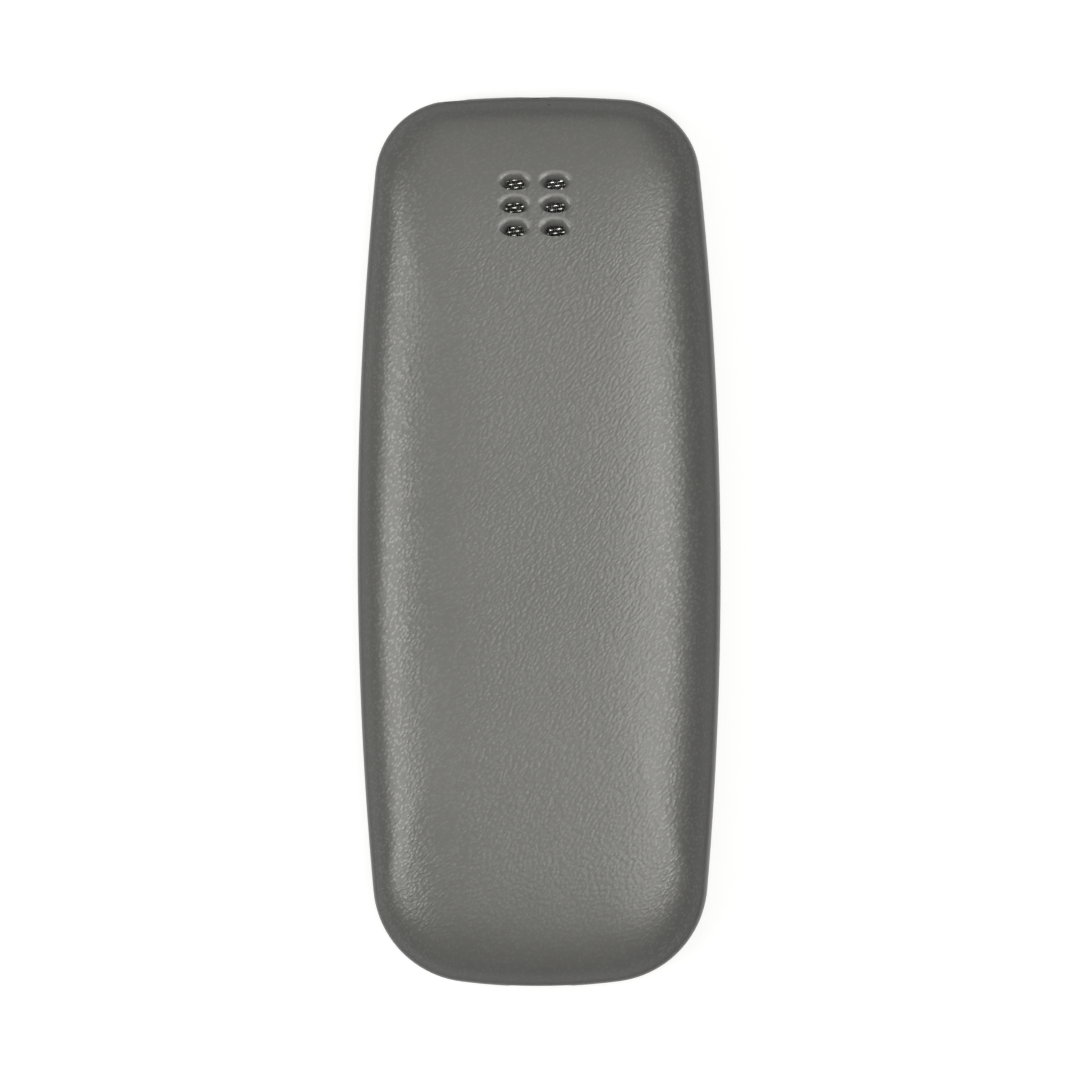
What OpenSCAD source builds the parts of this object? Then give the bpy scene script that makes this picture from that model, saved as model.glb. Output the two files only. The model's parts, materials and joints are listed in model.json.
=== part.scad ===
// Bar feature phone with a lift-off pillowed back cover, lying face down.
// Millimetres. Z runs from the front rim to the back, Y to the end with the torch,
// and the body is centred on X and Y with its front rim on Z = 0.

/* [Body] */
// Overall length
body_length = 119; // [118:0.5:123]
// Overall width at the widest place
body_width = 48.5; // [48:0.5:53]
// How far below the middle the widest place lies
widest_below_middle = 2; // [0:0.5:4]
// Plan radius of the bowed long sides
side_radius = 510; // [450:10:900]
// Plan radius of the top end
top_end_radius = 160; // [120:5:220]
// Plan radius of the bottom end
bottom_end_radius = 82; // [72:1:120]
// Plan radius of the two top corners
top_corner_radius = 10.6; // [9:0.1:12]
// Plan radius of the two bottom corners
bottom_corner_radius = 13.4; // [11:0.1:14]
// Height of the front half at the parting line
band_height = 3.2; // [2.8:0.1:3.6]
// Height of the widest level above the parting line
belt_rise = 1.3; // [0.9:0.1:1.6]
// Fullness of the pillowed back, higher is squarer
pillow_power = 4.5; // [4.3:0.1:6]

/* [Clearances] */
// Parting line between the cover edge and the front half
seam_gap = 0.1; // [0.05:0.05:0.2]
// Room between the cover and the frame inside it
cover_gap = 0.25; // [0.15:0.05:0.4]
// Room round each key in its hole
key_gap = 0.25; // [0.15:0.05:0.35]
// Room between inner pieces that lie next to each other
part_gap = 0.1; // [0.05:0.05:0.15]
// Room round the battery in its bay
battery_gap = 0.2; // [0.1:0.05:0.4]
// Radial room round a screw in its boss
screw_gap = 0.05; // [0.03:0.01:0.1]

/* [Back cover] */
// Wall of the cover
cover_wall = 1.2; // [1:0.1:1.5]
// Room over the battery under the highest part of the cover
crown_room = 1.3; // [1.2:0.1:2.5]
// Length of a tab on the inner side of the cover
tab_length = 5; // [3:0.5:7]
// How far a tab stands in from the cover wall
tab_depth = 0.8; // [0.5:0.1:1]
// Width of a sound hole across the phone
sound_hole_length = 2.6; // [2.2:0.1:3]
// Height of a sound hole along the phone
sound_hole_width = 1.7; // [1.4:0.1:1.9]
// Rounded-over margin of a sound hole
sound_hole_lip = 0.55; // [0.3:0.05:0.6]
// Distance between the two columns of sound holes
sound_pitch_x = 5.4; // [4.8:0.1:6]
// Distance between the three rows of sound holes
sound_pitch_y = 3.1; // [3:0.1:3.2]
// Distance from the top end to the middle of the sound holes
speaker_from_top = 14.9; // [14:0.1:15.4]
// Thickness of the dust mesh behind the sound holes
mesh_thickness = 0.15; // [0.1:0.05:0.25]
// Distance between the openings of the dust mesh
mesh_pitch = 0.9; // [0.8:0.1:1.2]
// Width of the pry slot at the parting line
pry_width = 8; // [5:1:12]

/* [Front half] */
// Thickness of the front plate
plate_thickness = 1.6; // [1.5:0.1:2]
// Roll of the front edge, seen from the front
edge_roll = 1.5; // [1:0.1:1.7]
// Width of the flat rim round the keys
rim_width = 1.5; // [1.2:0.1:1.9]
// Wall of the tongue that stands up inside the cover
tongue_wall = 1; // [0.8:0.1:1.2]
// Depth of the hollow that the keys stand in
basin_depth = 0.7; // [0.5:0.1:0.8]
// Diameter of a screw boss
boss_diameter = 3.8; // [3.4:0.1:4]

/* [Display] */
// Distance of the window from the widest side
window_from_side = 5.25; // [5:0.05:6]
// Height of the display window
window_height = 44; // [43:0.5:45]
// Distance from the top end to the window
window_from_top = 12; // [11.5:0.1:12.5]
// Corner radius of the window
window_corner = 3; // [1.5:0.5:5]
// Thickness of the window
window_thickness = 0.8; // [0.6:0.05:0.9]
// How far the window lies behind the front rim
window_recess = 0.15; // [0.1:0.05:0.2]
// Width of the dark border at each side of the view
view_border = 4.5; // [4.3:0.1:6]
// Height of the view through the plate
view_height = 36; // [33:0.5:36.5]
// Thickness of the foam frame before the panel
foam_thickness = 0.3; // [0.2:0.05:0.5]
// Thickness of the glass panel
panel_thickness = 1; // [0.8:0.1:1.4]
// Thickness of the backlight tray
tray_thickness = 1.2; // [1:0.1:1.6]
// Width of the display ribbon
flex_width = 12; // [8:1:14]
// Thickness of the display ribbon
flex_thickness = 0.12; // [0.1:0.01:0.16]

/* [Keys] */
// Room between two key columns
column_gap = 1.6; // [1.4:0.1:2]
// Distance of the number keys from the widest side
keypad_from_side = 5.55; // [5.5:0.05:6.5]
// Room between two key rows
row_gap = 2; // [1.8:0.1:2.6]
// Distance from the bottom end to the lowest keys
keypad_from_bottom = 10.5; // [10:0.1:13]
// Corner radius of a key
key_corner = 2.2; // [1.5:0.1:2.5]
// How far the key tops lie behind the front rim
key_recess = 0.2; // [0.1:0.05:0.3]
// Travel of a key
key_travel = 0.3; // [0.2:0.05:0.35]
// Overhang of a key flange behind the plate
flange_overhang = 0.5; // [0.3:0.1:0.6]
// Thickness of a key flange
flange_thickness = 0.5; // [0.4:0.1:0.6]
// Crown radius of a key top
key_crown_radius = 80; // [60:5:200]
// Diameter of the stem behind a key
stem_diameter = 3; // [2.4:0.2:3.4]
// Distance of the soft, call and end keys from the widest side
side_keys_from_side = 5.25; // [5.2:0.05:6]
// Room between the ring and the keys beside it
nav_side_gap = 1.4; // [1.3:0.1:2]
// Width of the navigation ring
nav_width = 16; // [14:0.5:16.5]
// Corner radius of the navigation ring
nav_corner = 6; // [5:0.5:7]
// Size of the select key inside the ring
select_size = 7; // [6:0.5:7.5]
// Room round the select key inside the ring
select_gap = 0.4; // [0.35:0.05:0.6]
// Diameter of a nub that presses a dome under the ring
nub_diameter = 2; // [1.6:0.1:2.2]

/* [Board] */
// Thickness of the circuit board
board_thickness = 0.8; // [0.6:0.1:1.2]
// Height of the shield cans on the board
shield_height = 1.1; // [1:0.1:1.6]
// Distance of the shield cans from the sides of the battery
shield_in = 2; // [1:0.5:4]
// Length of the radio shield
rf_length = 22; // [18:0.5:23]
// Length of the processor shield
processor_length = 21.5; // [18:0.5:22]
// Distance between the two shields, and from the first to the battery's end
shield_space = 3; // [2:0.5:4]
// Wall of a shield can
shield_wall = 0.3; // [0.2:0.05:0.4]
// Height of a snap dome under a key
dome_height = 0.25; // [0.2:0.01:0.3]
// Diameter of a snap dome
dome_diameter = 4; // [3:0.2:4.4]
// Thickness of the film that carries the domes
film_thickness = 0.1; // [0.05:0.01:0.15]
// Thickness of the rubber web between the keys and the domes
web_thickness = 0.4; // [0.3:0.05:0.45]

/* [Battery and cards] */
// Length of the battery
battery_length = 53; // [50:0.5:54]
// Distance of the battery from the widest side
battery_from_side = 7.25; // [7:0.05:8]
// Thickness of the battery
battery_thickness = 5; // [4.5:0.1:5.8]
// Distance from the bottom end to the battery
battery_from_bottom = 17.5; // [17.3:0.1:18.5]
// Length of the end cap of the battery
battery_cap_length = 3.2; // [2.8:0.1:4]
// Rounding of the long edges of the battery
battery_edge = 1.4; // [1:0.1:2]
// Width of the block that carries the battery springs
connector_width = 10; // [9:0.5:12]
// Depth of the block that carries the battery springs
connector_depth = 3.3; // [3:0.1:3.4]
// Distance between the battery contacts
contact_pitch = 3; // [2.8:0.1:3.2]
// Width of a card holder
card_holder_width = 13.4; // [13:0.1:13.6]
// Length of a card holder
card_holder_length = 16; // [15.5:0.1:17]
// Height of a card holder
card_holder_height = 1.4; // [1.3:0.05:1.6]

/* [Frame] */
// Wall between the battery bay and the room under the shelf
shelf_wall = 4.4; // [4.2:0.1:5]
// Thickness of the frame floor under the battery
floor_thickness = 0.6; // [0.5:0.1:1]
// Height of the side rails above the floor of the bay
rail_height = 4; // [3:0.25:4.25]
// Diameter of a screw shank
screw_diameter = 1.4; // [1.2:0.1:1.6]
// Diameter of a screw head
screw_head = 2.8; // [2.4:0.1:3]
// Distance of the top screws from the bowed side
top_screw_in = 3.6; // [3.5:0.1:4]
// Distance of the middle screws from the bowed side
mid_screw_in = 4.65; // [4.4:0.05:5]
// Distance of the bottom screws from the bowed side
low_screw_in = 7.7; // [7.4:0.1:8]
// Distance of the bottom screws from the bottom end
low_screw_up = 6.1; // [5.8:0.1:6.2]

/* [Sound and ports] */
// Width of the loudspeaker
speaker_width = 15; // [13:0.5:15.2]
// Length of the loudspeaker along the phone
speaker_length = 11; // [9.5:0.5:11]
// Thickness of the loudspeaker
speaker_thickness = 3; // [2.5:0.1:3.2]
// Width of the earpiece
earpiece_width = 11; // [9:0.5:11.5]
// Length of the earpiece along the phone
earpiece_length = 6; // [5:0.5:6.5]
// Width of the earpiece slot in the plate
ear_slot_width = 9; // [7:0.5:9.5]
// Height of the earpiece slot in the plate
ear_slot_height = 1.4; // [1.2:0.1:1.8]
// Thickness of the mesh behind the earpiece slot
ear_mesh_thickness = 0.2; // [0.15:0.05:0.3]
// Rim of the earpiece mesh round its slot
ear_mesh_rim = 0.8; // [0.6:0.1:0.9]
// Diameter of the microphone and its boot
microphone_diameter = 3.6; // [3:0.1:4]
// Distance from the bottom end to the microphone
microphone_from_bottom = 4.6; // [4.5:0.1:5]
// Diameter of the headphone bore
jack_bore = 3.6; // [3.55:0.01:3.7]
// Depth of the headphone bore
jack_depth = 11.5; // [10:0.5:12]
// Wall of the round nose of the headphone socket
jack_nose_wall = 0.7; // [0.5:0.1:0.8]
// Width of the headphone socket
jack_width = 5.2; // [5:0.1:5.6]
// Height of the headphone bore and the torch above the board
port_rise = 1.9; // [1.85:0.05:2.1]
// Diameter of the torch lens
torch_diameter = 3.6; // [2.8:0.1:3.6]
// Width of the charging port shell
usb_width = 7.6; // [7.4:0.1:8]
// Height of the charging port shell
usb_height = 2.7; // [2.6:0.1:3]
// Depth of the charging port shell
usb_depth = 5.4; // [5:0.1:6]
// Distance from the bottom end to the antenna
antenna_from_bottom = 6.5; // [6:0.1:7.5]
// Width of an antenna trace
antenna_trace = 1.4; // [1:0.1:1.6]
// Distance between antenna traces
antenna_pitch = 4.4; // [3.6:0.1:4.6]
// Thickness of the antenna
antenna_thickness = 0.15; // [0.1:0.05:0.2]
// Diameter of the vibration motor
motor_diameter = 4; // [3.5:0.1:4]
// Length of the vibration motor
motor_length = 7.5; // [6:0.5:8]
// Length of the off-centre weight
weight_length = 3.4; // [2.5:0.1:4]
// Bare shaft between the motor and its weight
shaft_bare = 0.7; // [0.5:0.1:1]
// Diameter of the motor shaft
shaft_diameter = 0.8; // [0.6:0.1:1]

/* [Hidden] */
$fn = 48;
half_length = body_length / 2;
half_width = body_width / 2;
widest_y = -widest_below_middle;
belt_z = band_height + belt_rise;

panel_z = plate_thickness + foam_thickness;
tray_z = panel_z + panel_thickness;
board_z = tray_z + tray_thickness + part_gap;
board_back = board_z + board_thickness;
tongue_top = board_back + 0.4;
floor_z = board_back + shield_height + part_gap;
floor_top = floor_z + floor_thickness;
battery_z = floor_top + part_gap;
battery_top = battery_z + battery_thickness;
crown_z = battery_top + crown_room + cover_wall;
rail_top = floor_top + rail_height;
shelf_top = rail_top - 0.4;
head_z = floor_top + 0.7;

frame_inset = cover_wall + cover_gap;
cavity_inset = frame_inset + tongue_wall;
basin_inset = edge_roll + rim_width;

window_width = body_width - 2 * window_from_side;
view_width = window_width - 2 * view_border;
window_y = half_length - window_from_top - window_height / 2;
window_low = window_y - window_height / 2;
basin_top = window_low - 1.4;
keypad_low = -half_length + keypad_from_bottom;
row_pitch = (window_low - keypad_low + row_gap / 2) / 6.86;
key_height = row_pitch - row_gap;
column_pitch = (half_width - keypad_from_side + column_gap / 2) / 1.5;
key_width = column_pitch - column_gap;
side_key_width = half_width - side_keys_from_side - nav_width / 2 - nav_side_gap;
side_key_x = half_width - side_keys_from_side - side_key_width / 2;
key_round = min(key_corner, key_height / 2 - 0.1);
nav_y = window_low - 1.5 * row_pitch;
row_y = [for (i = [0:3]) window_low - (3.36 + i) * row_pitch];
side_key_dy = 0.56 * row_pitch;
side_y = [nav_y + side_key_dy, nav_y - side_key_dy];
nav_height = 2 * side_key_dy + key_height;
nav_round = min(nav_corner, nav_height / 2 - 0.5);
web_top_y = side_y[0] + key_height / 2 + flange_overhang + 0.3;
web_low_y = keypad_low - flange_overhang - 0.6;

flange_z = plate_thickness + part_gap;
web_z = flange_z + flange_thickness + key_travel + part_gap;
film_z = board_z - film_thickness;
dome_z = film_z - dome_height;
stem_end = dome_z - key_travel - part_gap / 2;

nav_tilt = 1.6;
nav_top = key_recess + 0.25;
nav_flange_z = plate_thickness + 0.45;
nav_bottom = nav_flange_z + 0.4;
rocker_radius = 0.28;
carrier_z = nav_bottom + 0.3;
carrier_t = 0.4;
carrier_pivot_z = carrier_z + carrier_t / 2;
pin_diameter = carrier_t + 0.06;
nav_nub_end = dome_z - 0.23;
nav_reach_x = nav_width / 2 - nub_diameter - 0.3;
nav_reach_y = nav_height / 2 - nub_diameter - 0.2;
nav_dome = min(dome_diameter, 2 * nav_reach_y - dome_diameter - 0.4);
rocker_start = select_size / 2 + select_gap + 0.5;
rocker_end = nav_height / 2 - 0.6;
carrier_width = nav_width - 0.6;
carrier_height = nav_height - 0.6;

battery_width = body_width - 2 * battery_from_side;
battery_low = -half_length + battery_from_bottom;
battery_y = battery_low + battery_length / 2;
battery_high = battery_low + battery_length;
bay_low = battery_low - battery_gap;
bay_high = battery_high + battery_gap;
bay_half = battery_width / 2 + battery_gap;
shield_width = battery_width - 2 * shield_in;
rf_low = battery_low + shield_space;
processor_low = rf_low + rf_length + shield_space;
card_y = bay_high + 2.2 + card_holder_length / 2;
card_x = card_holder_width / 2 + 0.4;

speaker_y = half_length - speaker_from_top;
jack_x = speaker_width / 2 + jack_width / 2 + 1.1;
seat_z = cover_in_z(speaker_y) - 0.25;
mesh_z = seat_z - mesh_thickness;
seal_t = 0.6;
speaker_z = mesh_z - part_gap / 2 - seal_t - speaker_thickness;
bay_end = speaker_y - speaker_length / 2 - 1.6;

port_z = board_back + port_rise;
end_face = half_length - frame_inset;
earpiece_y = half_length - 7.6;
microphone_y = -half_length + microphone_from_bottom;
tray_high = window_y + view_height / 2 + 2.5;
top_screw_y = tray_high + boss_diameter / 2 + part_gap;
mid_screw_y = window_low - 1;
low_screw_y = -half_length + low_screw_up;
screw_places = [
    [side_x(top_screw_y) - top_screw_in, top_screw_y],
    [side_x(mid_screw_y) - mid_screw_in, mid_screw_y],
    [side_x(low_screw_y) - low_screw_in, low_screw_y]];
tab_places = [-0.3, -0.12, 0.15, 0.335] * body_length;
motor_y = bay_low - shelf_wall - motor_diameter / 2 - 0.4;
motor_z = board_back + 2.3;
motor_x = side_x(motor_y) - cavity_inset - 3 - motor_length - weight_length - shaft_bare;
weight_x = motor_x + motor_length + shaft_bare;

nose_r = jack_bore / 2 + jack_nose_wall;
nose_y = min([for (a = [0:15:90]) top_y(jack_x + nose_r * cos(a), cover_wall + cover_gap)
    * pillow_share(cover_wall + cover_gap, port_z + nose_r * sin(a))]);

// Where two circles meet, on the side of larger y when q lies right of p
function circles_meet(p, rp, q, rq) =
    let (d = norm(q - p), t = (rp * rp - rq * rq + d * d) / (2 * d), h = sqrt(rp * rp - t * t))
    let (u = (q - p) / d)
    p + u * t + [-u[1], u[0]] * h;

function arc(c, r, a, b, steps) =
    [for (i = [1:steps]) let (t = a + (b - a) * i / steps) c + r * [cos(t), sin(t)]];

// One quarter of the outline, from the widest place to the middle of an end
function quarter(end_radius, corner_radius, widest, inset) =
    let (s = [half_width - side_radius, widest], e = [0, half_length - end_radius])
    let (c = circles_meet(s, side_radius - corner_radius, e, end_radius - corner_radius))
    let (a = atan2(c[1] - s[1], c[0] - s[0]), b = atan2(c[1] - e[1], c[0] - e[0]))
    concat(
        [[half_width - inset, widest]],
        arc(s, side_radius - inset, 0, a, 5),
        arc(c, corner_radius - inset, a, b, 9),
        arc(e, end_radius - inset, b, 90, 4));

// Outline of the body seen from the back, drawn in evenly by inset
function outline(inset) =
    let (t = quarter(top_end_radius, top_corner_radius, widest_y, inset))
    let (b = quarter(bottom_end_radius, bottom_corner_radius, -widest_y, inset))
    let (n = len(t))
    concat(
        t,
        [for (i = [n - 2:-1:0]) [-t[i][0], t[i][1]]],
        [for (i = [1:n - 1]) [-b[i][0], -b[i][1]]],
        [for (i = [n - 2:-1:1]) [b[i][0], -b[i][1]]]);

// Half the width of the body at a place along its bowed side
function side_x(y) =
    half_width - side_radius + sqrt(side_radius * side_radius - pow(y - widest_y, 2));

// How far the top end reaches at x, drawn in by inset
function top_y(x, inset) =
    let (s = [half_width - side_radius, widest_y], e = [0, half_length - top_end_radius])
    let (c = circles_meet(s, side_radius - top_corner_radius, e, top_end_radius - top_corner_radius))
    x > c[0] ? c[1] + sqrt(pow(top_corner_radius - inset, 2) - pow(x - c[0], 2))
        : e[1] + sqrt(pow(top_end_radius - inset, 2) - x * x);

// Share of the outline that the pillow, drawn in by inset, still has at height z
function pillow_share(inset, z) =
    pow(1 - pow((z - belt_z) / (crown_z - inset - belt_z), pillow_power), 1 / pillow_power);

function ring(inset, z) = [for (p = outline(inset)) [p[0], p[1], z]];

// Rings of the pillowed back, drawn in by inset
function pillow(inset, angles) =
    [for (t = angles) let (r = pow(cos(t), 2 / pillow_power), h = pow(sin(t), 2 / pillow_power))
        [for (p = outline(inset))
            [p[0] * r, p[1] * r, belt_z + (crown_z - inset - belt_z) * h]]];

// Height of the pillow, drawn in by inset, on the middle line
function pillow_z(inset, y) =
    let (r = abs(y) / (half_length - inset))
    belt_z + (crown_z - inset - belt_z) * pow(1 - pow(r, pillow_power), 1 / pillow_power);

function cover_in_z(y) = pillow_z(cover_wall, y);

// Side faces between the rings first to last, turned outward or inward
function skin(first, last, n, out) =
    [for (i = [first:last - 1], j = [0:n - 1], k = [0, 1])
        let (a = i * n + j, b = i * n + (j + 1) % n, c = b + n, d = a + n)
        out ? (k == 0 ? [a, d, c] : [a, c, b]) : (k == 0 ? [a, c, d] : [a, b, c])];

function flat_list(rings) = [for (r = rings, p = r) p];

// Solid through a stack of rings
module loft(rings) {
    n = len(rings[0]);
    m = len(rings);
    polyhedron(flat_list(rings), concat(
        [[for (j = [0:n - 1]) j]],
        [[for (j = [n - 1:-1:0]) (m - 1) * n + j]],
        skin(0, m - 1, n, true)));
}

// Open tub between an outer and an inner stack of rings
module tub(outer, inner) {
    n = len(outer[0]);
    m = len(outer);
    k = len(inner);
    polyhedron(flat_list(concat(outer, inner)), concat(
        [[for (j = [n - 1:-1:0]) (m - 1) * n + j]],
        [[for (j = [0:n - 1]) (m + k - 1) * n + j]],
        skin(0, m - 1, n, true),
        skin(m, m + k - 1, n, false),
        [for (j = [0:n - 1]) [j, (j + 1) % n, m * n + (j + 1) % n]],
        [for (j = [0:n - 1]) [j, m * n + (j + 1) % n, m * n + j]]));
}

module rounded(w, h, r) {
    square([w - 2 * r, h], center = true);
    square([w, h - 2 * r], center = true);
    for (x = [-1, 1], y = [-1, 1]) translate([x * (w / 2 - r), y * (h / 2 - r)]) circle(r);
}

module plate(w, h, r, z, t) {
    translate([0, 0, z]) linear_extrude(t) rounded(w, h, r);
}

module block(x0, x1, y0, y1, z0, z1) {
    translate([x0, y0, z0]) cube([x1 - x0, y1 - y0, z1 - z0]);
}

module post(x, y, z0, z1, d) {
    translate([x, y, z0]) cylinder(d = d, h = z1 - z0);
}

module along_y(x, y, z, d, length) {
    translate([x, y, z]) rotate([-90, 0, 0]) cylinder(d = d, h = length);
}

module along_x(x, y, z, d, length) {
    translate([x, y, z]) rotate([0, 90, 0]) cylinder(d = d, h = length);
}

module prism(inset, z0, z1) {
    translate([0, 0, z0]) linear_extrude(z1 - z0) polygon(outline(inset));
}

module each_screw() {
    for (p = screw_places, s = [-1, 1]) translate([s * p[0], p[1], 0]) children();
}

// Oval opening along X with a flared mouth at height z
module oval_hole(z) {
    half = (sound_hole_length - sound_hole_width) / 2;
    r = sound_hole_width / 2;
    lip = sound_hole_lip;
    translate([0, 0, z - 4]) linear_extrude(5) {
        square([2 * half, 2 * r], center = true);
        for (s = [-1, 1]) translate([s * half, 0]) circle(r);
    }
    for (s = [-1, 1]) translate([s * half, 0, z - lip]) cylinder(r1 = r, r2 = r + 2 * lip, h = 2 * lip);
    translate([-half, 0, z - lip]) rotate([90, 0, 90]) linear_extrude(2 * half)
        polygon([[-r, 0], [r, 0], [r + 2 * lip, 2 * lip], [-r - 2 * lip, 2 * lip]]);
}

module usb_outline(grow) {
    w = usb_width + 2 * grow;
    h = usb_height + 2 * grow;
    polygon([[-w / 2 + 1, -h / 2], [w / 2 - 1, -h / 2], [w / 2, -h / 2 + 1.1], [w / 2, h / 2],
        [-w / 2, h / 2], [-w / 2, -h / 2 + 1.1]]);
}

module usb_prism(grow, y0, y1) {
    translate([0, y1, board_back + usb_height / 2]) rotate([90, 0, 0])
        linear_extrude(y1 - y0) usb_outline(grow);
}

// Back cover: pillowed tub with sound holes, port openings, tabs and a pry slot
module back_cover() {
    low = band_height + seam_gap;
    outer = concat(
        [ring(0.2, low), ring(0.06, low + 0.22), ring(0, low + 0.6)],
        pillow(0, [0, 3, 7, 12, 18, 25, 33, 41, 49, 57, 65, 73, 80, 86]));
    inner = concat([ring(cover_wall, low)], pillow(cover_wall, [0, 6, 14, 24, 34, 44, 54, 64, 74, 84]));
    color("#77777a") difference() {
        union() {
            tub(outer, inner);
            translate([0, speaker_y, 0])
                plate(speaker_width + 1, speaker_length + 1, 1.2, seat_z, cover_wall * 0.6);
            for (y = tab_places, s = [-1, 1]) translate([s * side_x(y), y, 0]) mirror([s < 0 ? 1 : 0, 0, 0])
                block(-cover_wall - tab_depth, -0.5, -tab_length / 2, tab_length / 2,
                    tongue_top + 0.6, tongue_top + 2.6);
        }
        translate([0, speaker_y, 0])
            plate(speaker_width + 0.6, speaker_length + 0.6, 1, seat_z - 4, 4);
        for (i = [-1:1], s = [-1, 1])
            translate([s * sound_pitch_x / 2, speaker_y + i * sound_pitch_y, 0])
                oval_hole(pillow_z(0, speaker_y + i * sound_pitch_y));
        along_y(-jack_x, half_length - 8, port_z, jack_bore + 2 * cover_gap, 9);
        along_y(0, half_length - 5, port_z, torch_diameter + 0.3, 6);
        usb_prism(0.4, -half_length - 1, -half_length + 3);
        block(10, 10 + pry_width, -half_length - 1, -half_length + 6, low - 1, low + 0.7);
    }
}

// Dust mesh glued under the sound holes
module speaker_mesh() {
    w = speaker_width - 1.6;
    h = speaker_length - 1.4;
    nx = floor((w - 1.4) / mesh_pitch / 2);
    ny = floor((h - 1.4) / mesh_pitch / 2);
    color("#c9ccd0") translate([0, speaker_y, mesh_z]) linear_extrude(mesh_thickness) difference() {
        rounded(w, h, 0.8);
        for (i = [-nx:nx], j = [-ny:ny]) translate([i, j] * mesh_pitch)
            square(mesh_pitch * 0.55, center = true);
    }
}

// Battery cell with rounded long edges
module battery_cell() {
    color("#2f3338") translate([0, battery_high, battery_z + battery_thickness / 2]) rotate([90, 0, 0])
        linear_extrude(battery_length - battery_cap_length)
            rounded(battery_width, battery_thickness, battery_edge);
}

// Plastic end cap of the battery, with a thumb scoop in its free face
module battery_cap() {
    color("#1b1d20") difference() {
        translate([0, battery_low + battery_cap_length, battery_z + battery_thickness / 2])
            rotate([90, 0, 0]) linear_extrude(battery_cap_length)
                rounded(battery_width, battery_thickness, battery_edge);
        for (i = [-contact_pitch, 0, contact_pitch])
            block(i - 1.1, i + 1.1, battery_low - 1, battery_low + 0.15, battery_z + 0.9, battery_z + 3.7);
        translate([battery_width / 2 - 6, battery_low, battery_top + 1.2]) sphere(2);
    }
}

// Three gold pads let into the end cap
module battery_terminals() {
    color("#c9a24a") for (i = [-contact_pitch, 0, contact_pitch])
        block(i - 1, i + 1, battery_low + 0.03, battery_low + 0.15, battery_z + 1, battery_z + 3.6);
}

module key_hole(x, y, w, h, r) {
    translate([x, y, -1]) linear_extrude(plate_thickness + 2)
        rounded(w + 2 * key_gap, h + 2 * key_gap, r + key_gap);
}

// Front half: plate with rolled edge, hollow for the keys, tongue and screw bosses
module front_shell() {
    skin_rings = [ring(edge_roll, 0), ring(edge_roll * 0.62, 0.12), ring(edge_roll * 0.36, 0.4),
        ring(edge_roll * 0.16, 0.95), ring(edge_roll * 0.04, 1.7), ring(0.04, band_height - 0.24),
        ring(0.2, band_height)];
    color("#55565a") difference() {
        union() {
            difference() {
                union() {
                    loft(skin_rings);
                    prism(frame_inset, band_height - 1, tongue_top);
                }
                prism(cavity_inset, plate_thickness, tongue_top + 1);
            }
            each_screw() post(0, 0, plate_thickness - 0.4, board_z, boss_diameter);
        }
        each_screw() post(0, 0, plate_thickness + 0.6, board_z + 1, screw_diameter + 2 * screw_gap);
        intersection() {
            prism(basin_inset, -1, basin_depth);
            block(-half_width, half_width, -half_length, basin_top, -2, 2);
        }
        translate([0, window_y, 0])
            plate(window_width + 2 * part_gap, window_height + 2 * part_gap, window_corner, -1,
                1 + window_recess + window_thickness);
        translate([0, window_y, 0]) plate(view_width, view_height, 1, -1, plate_thickness + 2);
        for (c = [-1:1], y = row_y) key_hole(c * column_pitch, y, key_width, key_height, key_round);
        for (s = [-1, 1], y = side_y) key_hole(s * side_key_x, y, side_key_width, key_height, key_round);
        key_hole(0, nav_y, nav_width, nav_height, nav_round);
        translate([0, earpiece_y, 0])
            plate(ear_slot_width, ear_slot_height, ear_slot_height * 0.46, -1, plate_thickness + 2);
        post(0, microphone_y, -1, plate_thickness + 1, 1.1);
        along_y(-jack_x, half_length - 8, port_z, jack_bore + 2 * jack_nose_wall + 2 * cover_gap, 9);
        along_y(0, half_length - 8, port_z, torch_diameter + 2 * part_gap, 9);
        usb_prism(part_gap * 2, -half_length - 1, -half_length + 8);
    }
}

// Clear window over the display
module display_window() {
    color("#20242a") translate([0, window_y, 0])
        plate(window_width, window_height, window_corner - part_gap, window_recess, window_thickness);
}

// Foam frame between the plate and the panel
module lcd_foam() {
    color("#303030") translate([0, window_y, plate_thickness]) linear_extrude(foam_thickness) difference() {
        square([view_width + 4, view_height + 4], center = true);
        square([view_width + 1, view_height + 1], center = true);
    }
}

// Glass display panel
module lcd_panel() {
    color("#0d1a2b") block(-view_width / 2 - 2, view_width / 2 + 2, window_y - view_height / 2 - 2.5,
        window_y + view_height / 2 + 2, panel_z, panel_z + panel_thickness);
}

// Tray with the light guide behind the panel
module backlight_tray() {
    w = view_width / 2 + 2.5;
    low = window_y - view_height / 2 - 2.9;
    color("#e8e8e4") union() {
        block(-w, w, low, tray_high, tray_z, tray_z + tray_thickness);
        for (s = [-1, 1])
            block(s > 0 ? w - 0.4 : -w, s > 0 ? w : -w + 0.4, low, tray_high, panel_z, tray_z + 0.2);
    }
}

// Bent ribbon from the panel to the board
module display_flex() {
    edge = window_y - view_height / 2 - 3;
    outer = (board_z - panel_z - 0.5) / 2;
    mid = board_z - part_gap / 2 - outer;
    color("#a8651e") translate([-flex_width / 2, edge, mid]) rotate([90, 0, 90]) linear_extrude(flex_width) {
        difference() {
            circle(outer);
            circle(outer - flex_thickness);
            translate([0, -5]) square([10, 10]);
        }
        translate([-0.01, -outer]) square([0.4, flex_thickness]);
    }
}

module key_stem(x, y) {
    post(x, y, flange_z + flange_thickness - 0.1, stem_end, stem_diameter);
}

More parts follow.
